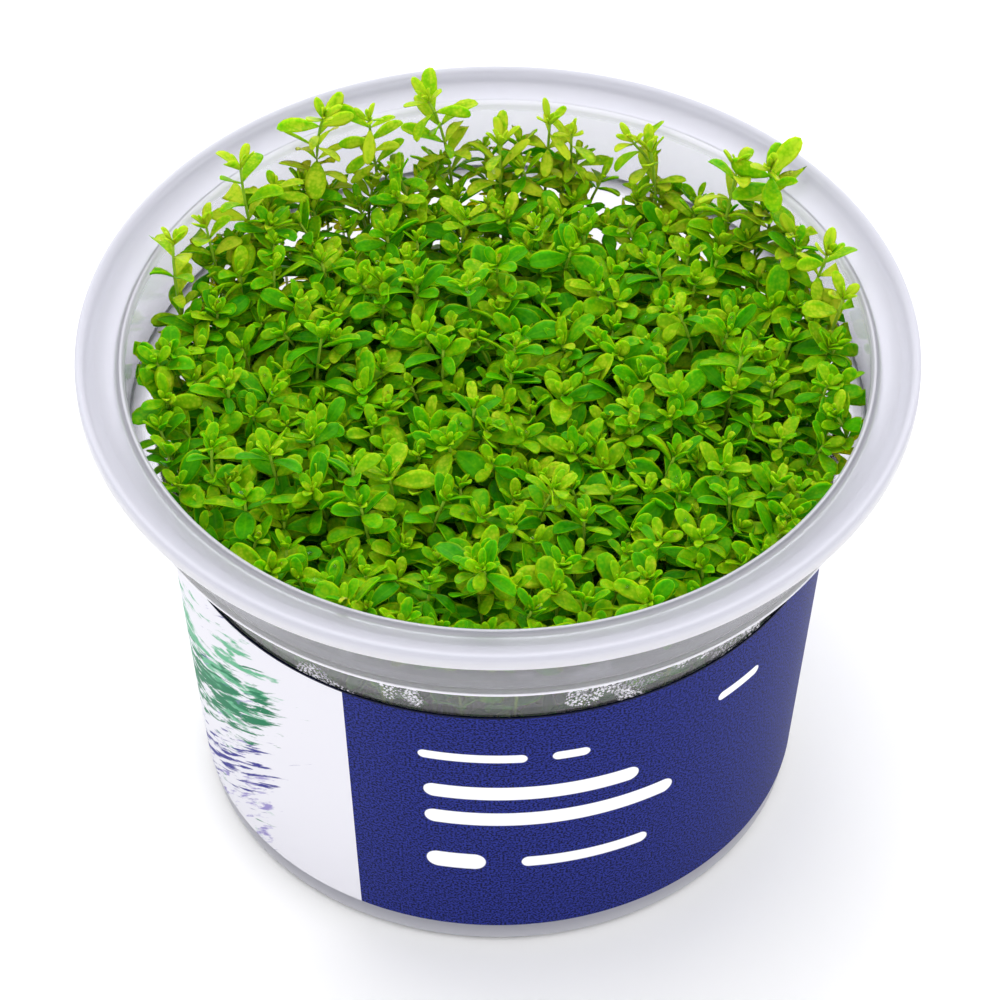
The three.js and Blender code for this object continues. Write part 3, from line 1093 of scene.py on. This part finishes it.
@dataclass(frozen=True)
class GelDisc:
    """The growing gel: one disc in the foot of the cup, drawn up a little where it meets the wall."""

    segments: int = 128
    top: float = 11.0
    clearance: float = 0.15
    meniscus: float = 0.6

    def build(self, cup: CultureCup, material: bpy.types.Material) -> bpy.types.Object:
        """Builds the gel.

        Args:
            cup: the cup that holds it.
            material: the gel's material.

        Returns:
            The gel.
        """
        bottom = cup.base_recess + cup.wall + self.clearance
        gap = cup.wall + self.clearance
        edge = cup.wall_radius(self.top) - gap
        corners = [
            Corner(0, bottom),
            Corner(cup.wall_radius(bottom) - gap - cup.wall, bottom, 0.8),
            Corner(cup.wall_radius(bottom + cup.wall) - gap, bottom + cup.wall, 0.5),
            Corner(edge, self.top, 0.1, 0.8, 0.7),
            Corner(edge - self.meniscus, self.top - self.meniscus / 2, 0.4, 0.8, 0.8),
            Corner(edge - 3 * self.meniscus, self.top - self.meniscus / 2, 0.4),
            Corner(0, self.top - self.meniscus / 2),
        ]
        draft = MeshDraft()
        turn(draft, rounded(corners), self.segments)
        return draft.build("gel_disc", [material], Slot.GEL, ("nutrient_gel",))


@dataclass(frozen=True)
class LeafSize:
    """The range of sizes and set of the leaves of one stage, in millimetres and degrees."""

    length: tuple[float, float]
    rise: tuple[float, float]
    curl: tuple[float, float]
    age: tuple[float, float]


@dataclass(frozen=True)
class LeafBlade:
    """A spoon-shaped blade with a rounded end, folded up a little from its midrib and thickest along it."""

    rows: tuple[float, ...] = (0.14, 0.3, 0.48, 0.66, 0.83, 0.95)
    columns: tuple[float, ...] = (-1.0, -0.55, 0.0, 0.55, 1.0)
    width_share: float = 0.5
    widest: float = 0.63
    stalk_share: float = 0.2
    thickness: float = 0.28
    narrowing: float = 1.6
    cupping: float = 1.6
    least_bend: float = 1e-4

    def half_width(self, t: float) -> float:
        """Gives the blade's half width.

        Args:
            t: the place on the blade, as a share of its length.

        Returns:
            The half width there, where the widest place has 1.
        """
        if t > self.widest:
            past = (t - self.widest) / (1 - self.widest)
            return math.sqrt(max(1 - past * past, 0.0))
        share = t / self.widest
        return self.stalk_share + (1 - self.stalk_share) * math.sin(share * math.pi / 2) ** self.narrowing

    def faces(self) -> list:
        """Gives the faces of one blade: its upper skin, its lower skin, and both ends closed.

        Returns:
            The faces, numbered as points() orders its points.
        """
        wide = len(self.columns)
        upper = len(self.rows) * wide
        faces = []

        def top(row: int, column: int) -> int:
            """Gives the number of a point of the upper skin."""
            return row * wide + column

        def under(row: int, column: int) -> int:
            """Gives the number of a point of the lower skin, which shares its margins with the upper."""
            if column in (0, wide - 1):
                return top(row, column)
            return upper + row * (wide - 2) + column - 1

        base = upper + len(self.rows) * (wide - 2)
        tip = base + 1
        last = len(self.rows) - 1
        for column in range(wide - 1):
            beside = column + 1
            for row in range(last):
                above = row + 1
                upper_face = [(row, column), (above, column), (above, beside), (row, beside)]
                faces.append([top(*corner) for corner in upper_face])
                lower_face = [(row, beside), (above, beside), (above, column), (row, column)]
                faces.append([under(*corner) for corner in lower_face])
            faces.append([base, top(0, column), top(0, beside)])
            faces.append([base, under(0, beside), under(0, column)])
            faces.append([tip, top(last, beside), top(last, column)])
            faces.append([tip, under(last, column), under(last, beside)])
        return faces

    def points(
        self, length: float, width: float, fold: float, curl: float, twist: float, sway: float
    ) -> tuple[np.ndarray, np.ndarray]:
        """Gives the points of a blade that starts at the origin and points along +X, with its face up.

        Args:
            length: the blade's length.
            width: its greatest width.
            fold: how far its sides rise from the midrib, as an angle.
            curl: how far its tip bends down, as an angle.
            twist: how far it turns about its midrib from foot to tip, as an angle.
            sway: how far its tip stands to one side, as a share of its length.

        Returns:
            The points, and how far each is from the midrib as a share of the half width.
        """
        points = []
        across = []

        def on_blade(t: float, side: float, lift: float) -> list[float]:
            """Places a point on the curled blade.

            Args:
                t: how far along the blade it is, as a share of its length.
                side: how far to the side of the midrib.
                lift: how far above the blade's middle.

            Returns:
                The point.
            """
            bend = math.copysign(max(abs(curl * t), self.least_bend), curl)
            ray = length * t
            middle = (ray * math.sin(bend) / bend, -ray * (1 - math.cos(bend)) / bend)
            normal = (math.sin(bend), math.cos(bend))
            return [middle[0] + lift * normal[0], side, middle[1] + lift * normal[1]]

        for skin, columns in ((0.5, self.columns), (-0.5, self.columns[1:-1])):
            for t in self.rows:
                half = self.half_width(t) * width / 2
                for s in columns:
                    thick = self.thickness * skin * (1 - s * s)
                    lift = abs(s) ** self.cupping * half * math.sin(fold) + thick
                    out = s * half * math.cos(fold)
                    side = out * math.cos(twist * t) - lift * math.sin(twist * t)
                    lift = out * math.sin(twist * t) + lift * math.cos(twist * t)
                    points.append(on_blade(t, side + sway * length * t * t, lift))
                    across.append(abs(s))
        for t in (0.0, 1.0):
            points.append(on_blade(t, sway * length * t * t, 0.0))
            across.append(t)
        return np.array(points), np.array(across)


@dataclass(frozen=True)
class Dew:
    """Small drops of water on a share of the leaves: each stands on the midrib, on one row of the blade."""

    share: float = 0.035
    row: int = 3
    radius: tuple[float, float] = (0.16, 0.3)
    sides: int = 8
    rings: int = 4
    stand: float = 0.8

    def add(self, draft: MeshDraft, rng: Random, place: np.ndarray) -> None:
        """Adds a drop.

        Args:
            draft: the tuft's mesh.
            rng: the tuft's random numbers.
            place: the place on the leaf that it stands on.
        """
        radius = rng.uniform(*self.radius)
        points = [[0.0, 0.0, -radius], [0.0, 0.0, radius]]
        for ring in range(1, self.rings + 1):
            tilt = math.pi * ring / (self.rings + 1) - math.pi / 2
            for side in range(self.sides):
                angle = 2 * math.pi * side / self.sides
                out = radius * math.cos(tilt)
                points.append([out * math.cos(angle), out * math.sin(angle), radius * math.sin(tilt)])
        faces = []
        last = 2 + (self.rings - 1) * self.sides
        for side in range(self.sides):
            after = (side + 1) % self.sides
            faces.append([0, 2 + after, 2 + side])
            faces.append([1, last + side, last + after])
            for ring in range(self.rings - 1):
                low = 2 + ring * self.sides
                high = low + self.sides
                faces.append([low + side, low + after, high + after, high + side])
        middle = np.array([0, 0, radius * self.stand])
        draft.add(np.array(points) + place + middle, faces, Finish.WATER.value, age=0.0, across=0.5)


@dataclass(frozen=True)
class Leafing:
    """What all leaves of one stem share.

    These are how much paler than others they are, a factor on their length, and a factor on their width.
    """

    paler: float
    grow: float
    slim: float


@dataclass(frozen=True)
class Habit:
    """How a stem's whorls are set: distances in millimetres, and counts of leaves to choose from.

    Its fields are the distance from the tip to the first whorl, the distance between whorls, the leaves in
    a whorl, the same where leaves are old, how far below the tip leaves are not yet old, the range of a
    factor on the leaves' length, and how much paler than others its leaves are.
    """

    first: tuple[float, float]
    spacing: tuple[float, float]
    count: tuple[int, ...]
    old_count: tuple[int, ...]
    fresh: float
    grow: tuple[float, float]
    paler: float


@dataclass(frozen=True)
class ShootPlace:
    """Where a tall shoot's tip stands: azimuth from +X in degrees, distance from the axis, and height."""

    azimuth: float
    reach: float
    height: float

    def tip(self) -> Vector:
        """Gives the tip's place."""
        angle = math.radians(self.azimuth)
        return Vector((self.reach * math.cos(angle), self.reach * math.sin(angle), self.height))


@dataclass
class Cell:
    """A tuft's share of the cup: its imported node, outline, centre, foot on the gel and crown's height."""

    node: str
    corners: list[Vector]
    centre: Vector
    foot: Vector
    top: float

    def depth(self, place: Vector) -> float:
        """Gives how far a place is outside the outline.

        Args:
            place: the place, seen from above.

        Returns:
            The distance, less than 0 inside the outline.
        """
        worst = -math.inf
        for index, a in enumerate(self.corners):
            b = self.corners[(index + 1) % len(self.corners)]
            outward = Vector((b.y - a.y, a.x - b.x)).normalized()
            worst = max(worst, (place - a).dot(outward))
        return worst


@dataclass
class Pearlweed:
    """The plants: tufts of thin stems with leaves in whorls, a rosette on every tip, and tall shoots.

    Lengths are in millimetres, angles in degrees, and a spread is the standard deviation of a draw. The
    back and side gaps are how far tips stand back from the wall there, as shares of their distance from
    the axis. Towards the back the crown drops, more of its stems stand up as sprigs, and its leaves are
    paler and slimmer.
    """

    cup: CultureCup
    leaf: bpy.types.Material
    stem: bpy.types.Material
    water: bpy.types.Material
    seed: int = 11
    stems: int = 276
    crown_radius: float = 44.2
    back_gap: float = 0.03
    back_gap_turn: tuple[float, float] = (-0.1, 0.25)
    side_gap: float = 0.04
    side_gap_power: int = 4
    jitter: float = 1.3
    shoulder: float = 57.2
    crown: float = 62.5
    rosette_room: float = 1.2
    back_start: float = 18.0
    back_end: float = 40.0
    back_drop: float = 2.2
    back_paler: float = 0.1
    back_slimmer: float = 0.22
    roughness: float = 1.5
    clump: float = 8.0
    clump_rise: float = 3.2
    edge_stems: int = 34
    edge_radius: float = 43.8
    edge_jitter: float = 0.3
    sprig_share: float = 0.12
    back_sprig_share: float = 0.2
    sprig_rise: tuple[float, float] = (1.5, 3.5)
    shoot_floor: float = 66.0
    tip_leaf_height: float = 2.8
    clearance: float = 0.25
    stem_radius: float = 0.33
    stem_sides: int = 5
    stem_step: float = 3.0
    least_steps: int = 4
    stem_taper: float = 0.45
    foot_spread: float = 0.35
    straight_share: float = 0.45
    bent_share: float = 0.3
    lean: float = 13.0
    edge_lean: float = 0.18
    edge_lean_from: float = 30.0
    edge_lean_full: float = 44.0
    shoot_lean: float = 0.25
    leafy_from: float = 43.0
    leaf_width: tuple[float, float] = (0.75, 1.2)
    leaf_fold: tuple[float, float] = (8, 36)
    twist_spread: float = 16.0
    sway_spread: float = 0.06
    roll_spread: float = 14.0
    turn_spread: float = 0.14
    buds: tuple[int, ...] = (2, 3)
    young_leaves: tuple[int, ...] = (3, 4)
    young_below: float = 0.3
    young_turn: float = 1.3
    cushion: Habit = Habit((1.2, 1.9), (2.4, 3.4), (3, 4), (2, 3), 7.0, (0.8, 1.15), 0.0)
    shoot: Habit = Habit((1.6, 2.4), (2.2, 3.4), (2, 3), (2,), 15.0, (0.9, 1.2), 0.35)
    blade: LeafBlade = LeafBlade()
    dew: Dew = Dew()
    sizes: dict = field(
        default_factory=lambda: {
            Stage.BUD: LeafSize((1.3, 2.3), (56, 78), (-10, 20), (0.12, 0.3)),
            Stage.YOUNG: LeafSize((2.5, 3.8), (32, 62), (-10, 30), (0.12, 0.5)),
            Stage.GROWN: LeafSize((3.8, 5.8), (8, 48), (0, 55), (0.18, 0.75)),
            Stage.OLD: LeafSize((3.8, 5.4), (-10, 30), (0, 45), (0.35, 1.0)),
        }
    )
    shoots: tuple[ShootPlace, ...] = (
        ShootPlace(139, 42.6, 75),
        ShootPlace(121, 42.6, 75.5),
        ShootPlace(113, 41.5, 73.5),
        ShootPlace(102, 42, 74),
        ShootPlace(81, 42, 70),
        ShootPlace(66, 42, 69.5),
        ShootPlace(45, 42.4, 73),
        ShootPlace(38, 43, 76),
        ShootPlace(20, 43.4, 72.5),
        ShootPlace(158, 43.4, 73),
        ShootPlace(131.7, 41.9, 68.5),
        ShootPlace(89.6, 39.3, 68.5),
        ShootPlace(77.1, 41.5, 69),
        ShootPlace(62.8, 42.1, 69),
        ShootPlace(12.8, 43.8, 70),
        ShootPlace(31, 43.5, 68.5),
        ShootPlace(147, 43.5, 69),
    )

    def __post_init__(self) -> None:
        """Works out the faces that all leaves share."""
        self.blade_faces = self.blade.faces()

    def backness(self, depth: float) -> float:
        """Gives 0 at the front and the middle of the cup, 1 at its back, and a smooth rise between."""
        return smooth_step(depth, self.back_start, self.back_end)

    def cells(self) -> list[Cell]:
        """Reads every tuft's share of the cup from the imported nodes.

        Returns:
            One cell for each tuft, in the order of their names.
        """
        cells = []
        for name in sorted(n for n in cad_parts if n.startswith("tuft_")):
            points = [v.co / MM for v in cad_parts[name].data.vertices]
            low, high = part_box(name)
            on_shoulder = [p for p in points if abs(p.z - self.shoulder) < SAME_HEIGHT]
            ring = {(round(p.x, 2), round(p.y, 2)) for p in on_shoulder}
            foot = [p for p in points if p.z < low.z / MM + SAME_HEIGHT]
            middle = sum((Vector(p) for p in ring), Vector((0, 0))) / len(ring)
            corners = [Vector(p) for p in ring]
            corners.sort(key=lambda p: math.atan2(p.y - middle.y, p.x - middle.x))
            foot_middle = sum(foot, Vector()) / len(foot)
            top = high.z / MM
            if top >= self.shoot_floor:
                top = self.crown - self.back_drop * self.backness(middle.y)
            cells.append(Cell(name, corners, middle, foot_middle, top))
        return cells

    def _stem_path(self, cell: Cell, tip: Vector, lean: Vector) -> list[Vector]:
        """Gives the points of a stem from the gel to its tip.

        Args:
            cell: the tuft it belongs to.
            tip: where its tip stands.
            lean: the direction that its tip points in.

        Returns:
            Points about a stem step apart, from the foot up.
        """
        away = Vector((tip.x - cell.centre.x, tip.y - cell.centre.y, 0)) * self.foot_spread
        foot = cell.foot + away
        length = tip.z - foot.z
        first = foot + Vector((0, 0, length * self.straight_share))
        second = tip - lean * length * self.bent_share
        steps = max(round(length / self.stem_step), self.least_steps)
        path = []
        for step in range(steps + 1):
            t = step / steps
            u = 1 - t
            path.append(foot * u**3 + first * 3 * u * u * t + second * 3 * u * t * t + tip * t**3)
        return path

    def _add_stem(self, draft: MeshDraft, path: list[Vector]) -> None:
        """Adds a tapering tube along a stem's path.

        Args:
            draft: the tuft's mesh.
            path: the stem's points, from the foot up.
        """
        sides = self.stem_sides
        rows = []
        for index, point in enumerate(path):
            ahead = path[min(index + 1, len(path) - 1)] - path[max(index - 1, 0)]
            turned = ahead.to_track_quat("Z", "X").to_matrix()
            taper = 1 - self.stem_taper * index / (len(path) - 1)
            for side in range(sides):
                angle = 2 * math.pi * side / sides
                spoke = Vector((math.cos(angle), math.sin(angle), 0)) * self.stem_radius * taper
                rows.append(point + turned @ spoke)
        faces = [list(range(sides))[::-1], [len(rows) - sides + side for side in range(sides)]]
        for ring in range(len(path) - 1):
            for side in range(sides):
                a = ring * sides + side
                b = ring * sides + (side + 1) % sides
                faces.append([a, b, b + sides, a + sides])
        draft.add(np.array(rows), faces, Finish.STEM.value, age=0.0, across=0.5)

    def _add_leaf(
        self,
        draft: MeshDraft,
        rng: Random,
        place: Vector,
        up: Vector,
        azimuth: float,
        stage: Stage,
        leaves: Leafing,
    ) -> None:
        """Adds one leaf.

        Args:
            draft: the tuft's mesh.
            rng: the tuft's random numbers.
            place: where it leaves the stem.
            up: the stem's direction there.
            azimuth: which way it points round the stem.
            stage: how far it has grown.
            leaves: what all leaves of the stem share.
        """
        size = self.sizes[stage]
        length = rng.uniform(*size.length) * leaves.grow
        width = length * self.blade.width_share * rng.uniform(*self.leaf_width) * leaves.slim
        fold = math.radians(rng.uniform(*self.leaf_fold))
        curl = math.radians(rng.uniform(*size.curl))
        twist = math.radians(rng.gauss(0, self.twist_spread))
        sway = rng.gauss(0, self.sway_spread)
        points, across = self.blade.points(length, width, fold, curl, twist, sway)
        rise = math.radians(rng.uniform(*size.rise))
        roll = math.radians(rng.gauss(0, self.roll_spread))
        turned = (
            up.to_track_quat("Z", "X").to_matrix()
            @ Matrix.Rotation(azimuth, 3, "Z")
            @ Matrix.Rotation(-rise, 3, "Y")
            @ Matrix.Rotation(roll, 3, "X")
        )
        placed = points @ np.array(turned).T + np.array(place)
        age = max(rng.uniform(*size.age) - leaves.paler, 0.0)
        draft.add(placed, self.blade_faces, Finish.LEAF.value, age=age, across=across)
        if rng.random() < self.dew.share:
            wide = len(self.blade.columns)
            middle = placed[self.dew.row * wide + wide // 2]
            self.dew.add(draft, rng, middle)

    def _whorl(
        self,
        draft: MeshDraft,
        rng: Random,
        place: Vector,
        up: Vector,
        start: float,
        count: int,
        stage: Stage,
        leaves: Leafing,
    ) -> None:
        """Adds a ring of leaves round a stem.

        Args:
            draft: the tuft's mesh.
            rng: the tuft's random numbers.
            place: where the leaves leave the stem.
            up: the stem's direction there.
            start: which way the first leaf points round the stem.
            count: how many leaves there are.
            stage: how far they have grown.
            leaves: what all leaves of the stem share.
        """
        for leaf in range(count):
            azimuth = start + 2 * math.pi * leaf / count + rng.gauss(0, self.turn_spread)
            self._add_leaf(draft, rng, place, up, azimuth, stage, leaves)

    def _dress(self, draft: MeshDraft, rng: Random, path: list[Vector], habit: Habit) -> None:
        """Sets a rosette on a stem's tip and whorls below it.

        Args:
            draft: the tuft's mesh.
            rng: the tuft's random numbers.
            path: the stem's points, from the foot up.
            habit: how its leaves are set.
        """
        tip = path[-1]
        up = (path[-1] - path[-2]).normalized()
        start = rng.uniform(0, math.pi)
        grow = rng.uniform(*habit.grow)
        back = self.backness(tip.y)
        leaves = Leafing(habit.paler + self.back_paler * back, grow, 1 - self.back_slimmer * back)
        self._whorl(draft, rng, tip, up, start, rng.choice(self.buds), Stage.BUD, leaves)
        young = tip - up * self.young_below
        count = rng.choice(self.young_leaves)
        self._whorl(draft, rng, young, up, start + self.young_turn, count, Stage.YOUNG, leaves)
        below = rng.uniform(*habit.first)
        whorl = 0
        while True:
            place, up = self._point_below(path, below)
            if place is None or place.z < self.leafy_from:
                return
            start += math.pi / 4 if whorl % 2 else math.pi / 3
            # Low leaves take the old stage, whose darker colour is partly painted shade for the depth of the
            # cushion
            deep = tip.z - place.z > habit.fresh
            stage = Stage.OLD if deep else Stage.GROWN
            count = rng.choice(habit.old_count if deep else habit.count)
            self._whorl(draft, rng, place, up, start, count, stage, leaves)
            below += rng.uniform(*habit.spacing)
            whorl += 1

    def _point_below(self, path: list[Vector], distance: float) -> tuple[Vector | None, Vector]:
        """Finds a place on a stem.

        Args:
            path: the stem's points, from the foot up.
            distance: how far along the stem the place is from its tip.

        Returns:
            The place, or None below the stem's foot, and the stem's direction there.
        """
        left = distance
        for high, low in zip(path[::-1], path[-2::-1]):
            part = high - low
            if part.length >= left:
                return high - part.normalized() * left, part.normalized()
            left -= part.length
        return None, Vector((0, 0, 1))

    def _press_to_wall(self, draft: MeshDraft) -> None:
        """Bends whatever would pass the cup's wall back along it.

        Args:
            draft: the tuft's mesh.
        """
        for points in draft.points:
            out = np.hypot(points[:, 0], points[:, 1])
            room = self.cup.room(points[:, 2], self.clearance)
            share = np.where(out > room, room / np.maximum(out, TINY), 1.0)
            points[:, 0] *= share
            points[:, 1] *= share

    def _owner(self, cells: list[Cell], place: Vector) -> Cell:
        """Gives the tuft that a place seen from above belongs to."""
        return min(cells, key=lambda cell: cell.depth(place))

    def _spread_tips(self, cells: list[Cell]) -> dict[str, list[Vector]]:
        """Spreads the stems' tips over the cup in a spiral, and a ring of them along its wall.

        Args:
            cells: the tufts' shares of the cup.

        Returns:
            The tips of each tuft's stems seen from above, by the tuft's node.
        """
        rng = Random(self.seed)
        tips = {cell.node: [] for cell in cells}
        for index in range(self.stems):
            out = self.crown_radius * math.sqrt((index + 0.5) / self.stems)
            angle = index * GOLDEN_ANGLE
            back = self.back_gap * smooth_step(math.sin(angle), *self.back_gap_turn)
            out *= 1 - back - self.side_gap * math.cos(angle) ** self.side_gap_power
            place = Vector((out * math.cos(angle), out * math.sin(angle)))
            place += Vector((rng.uniform(-self.jitter, self.jitter), rng.uniform(-self.jitter, self.jitter)))
            tips[self._owner(cells, place).node].append(place)
        for index in range(self.edge_stems):
            turned = index + rng.uniform(-self.edge_jitter, self.edge_jitter)
            angle = 2 * math.pi * turned / self.edge_stems
            out = self.edge_radius * (1 - self.side_gap * math.cos(angle) ** self.side_gap_power)
            place = Vector((math.cos(angle), math.sin(angle))) * out
            tips[self._owner(cells, place).node].append(place)
        return tips

    def _grow(self, draft: MeshDraft, rng: Random, path: list[Vector], habit: Habit) -> None:
        """Adds a stem and its leaves.

        Args:
            draft: the tuft's mesh.
            rng: the tuft's random numbers.
            path: the stem's points, from the foot up.
            habit: how its leaves are set.
        """
        self._add_stem(draft, path)
        self._dress(draft, rng, path, habit)

    def _cushion_stem(self, rng: Random, cell: Cell, place: Vector) -> list[Vector]:
        """Finds the path of a stem of the cushion.

        Args:
            rng: the tuft's random numbers.
            cell: the tuft it belongs to.
            place: its tip, seen from above.

        Returns:
            The stem's points, from the foot up.
        """
        height = cell.top - self.rosette_room + rng.uniform(-self.roughness, self.roughness)
        height += self.clump_rise * noise.noise(Vector((place.x, place.y, 0)) / self.clump)
        back = self.backness(place.y)
        if rng.random() < self.sprig_share + (self.back_sprig_share - self.sprig_share) * back:
            height += rng.uniform(*self.sprig_rise)
        reach = self.edge_lean_full
        outward = smooth_step(place.length, self.edge_lean_from, reach) * self.edge_lean
        lean = Vector((place.x / reach * outward, place.y / reach * outward, 1.0))
        lean += Vector((rng.gauss(0, 1), rng.gauss(0, 1), 0)) * math.tan(math.radians(self.lean))
        return self._stem_path(cell, Vector((place.x, place.y, height)), lean.normalized())

    def build(self) -> list[bpy.types.Object]:
        """Builds every tuft.

        Returns:
            One piece for each packed tuft.
        """
        cells = self.cells()
        tips = self._spread_tips(cells)
        pieces = []
        for number, cell in enumerate(cells):
            rng = Random(self.seed * 100 + number)
            draft = MeshDraft()
            for place in tips[cell.node]:
                self._grow(draft, rng, self._cushion_stem(rng, cell, place), self.cushion)
            for shoot in self.shoots:
                tip = shoot.tip()
                if self._owner(cells, tip.to_2d()) is cell:
                    lean = Vector((rng.gauss(0, self.shoot_lean), rng.gauss(0, self.shoot_lean), 1))
                    tip.z -= self.tip_leaf_height
                    path = self._stem_path(cell, tip, lean.normalized())
                    self._grow(draft, rng, path, self.shoot)
            self._press_to_wall(draft)
            name = cell.node.replace("tuft", "tuft_leaves")
            finishes = [self.leaf, self.stem, self.water]
            pieces.append(draft.build(name, finishes, Slot.FOLIAGE, (cell.node,)))
        return pieces


@dataclass(frozen=True)
class SoftBox:
    """A soft light that points at the cup: its place and side in metres, and its power in watts."""

    name: str
    place: tuple[float, float, float]
    side: float
    power: float


@dataclass(frozen=True)
class Studio:
    """The plain studio: white paper, soft light from above and all round, and the camera.

    Light is followed for only as many bounces as still show in the plastic and the leaves, to save time.
    """

    elevation: float = 45.5
    distance: float = 1000.0
    aim: tuple[float, float, float] = (0.26, 0.0, 41.47)
    sensor: float = 36.0
    lens: float = 287.87
    floor_side: float = 6000.0
    clip_end: float = 20.0
    sky: float = 1.14
    sky_colour: str = "#ffffff"
    bounces: int = 6
    soft_bounces: int = 2
    boxes: tuple[SoftBox, ...] = (
        SoftBox("key", (-0.4, 0.6, 1.4), 1.3, 7.0),
        SoftBox("front", (0.4, -1.0, 1.3), 1.0, 2.6),
        SoftBox("back", (0.1, 1.4, 0.45), 1.4, 8.0),
    )

    def camera(self) -> bpy.types.Object:
        """Sets up the camera.

        Returns:
            The camera, which looks down at the cup's front.
        """
        data = bpy.data.cameras.new("camera")
        data.sensor_width = self.sensor
        data.lens = self.lens
        data.clip_end = self.clip_end
        camera = bpy.data.objects.new("camera", data)
        angle = math.radians(self.elevation)
        away = Vector((0, -math.cos(angle), math.sin(angle))) * self.distance
        camera.location = (Vector(self.aim) + away) * MM
        camera.rotation_euler = (math.pi / 2 - angle, 0, 0)
        bpy.context.scene.collection.objects.link(camera)
        bpy.context.scene.camera = camera
        return camera

    def floor(self, material: bpy.types.Material) -> bpy.types.Object:
        """Lays the paper.

        Args:
            material: the paper's material.

        Returns:
            The floor.
        """
        half = self.floor_side / 2 * MM
        mesh = bpy.data.meshes.new("studio_floor")
        corners = [(-half, -half, 0), (half, -half, 0), (half, half, 0), (-half, half, 0)]
        mesh.from_pydata(corners, [], [(0, 1, 2, 3)])
        mesh.materials.append(material)
        floor = bpy.data.objects.new("studio_floor", mesh)
        bpy.context.scene.collection.objects.link(floor)
        return floor

    def _hang(self, box: SoftBox) -> None:
        """Hangs a soft box.

        Args:
            box: the soft box.
        """
        data = bpy.data.lights.new(box.name, "AREA")
        data.size = box.side
        data.energy = box.power
        light = bpy.data.objects.new(box.name, data)
        light.location = box.place
        towards = Vector(self.aim) * MM - Vector(box.place)
        light.rotation_euler = towards.to_track_quat("-Z", "Y").to_euler()
        bpy.context.scene.collection.objects.link(light)

    def light(self) -> None:
        """Lights the sky, hangs the soft boxes, and sets how often light is followed on."""
        world = bpy.data.worlds.new("studio")
        world.use_nodes = True
        sky = world.node_tree.nodes["Background"]
        sky.inputs["Color"].default_value = linear(self.sky_colour)
        sky.inputs["Strength"].default_value = self.sky
        bpy.context.scene.world = world
        for box in self.boxes:
            self._hang(box)
        bpy.context.scene.view_settings.view_transform = "Standard"
        cycles = bpy.context.scene.cycles
        cycles.max_bounces = self.bounces
        cycles.diffuse_bounces = self.soft_bounces
        cycles.glossy_bounces = self.soft_bounces
        cycles.transmission_bounces = self.bounces


def main() -> None:
    """Builds the studio and every piece."""
    logging.basicConfig(level=logging.INFO, format="%(name)s: %(message)s")
    studio = Studio()
    studio.camera()
    studio.floor(MattStudioPaper().material())
    studio.light()
    cup = CultureCup()
    cup.build(MouldedPolypropylene().material())
    WrapLabel().build(cup, OffsetPrintedPaper().material(), UncoatedPaperBack().material())
    GelDisc().build(cup, SetAgarGel().material())
    leaf = LivingLeafTissue().material()
    stem = LivingStemTissue().material()
    tufts = Pearlweed(cup, leaf, stem, StandingWater().material()).build()
    log.info("%d tufts of pearlweed in the cup", len(tufts))


if __name__ == "__main__":
    main()
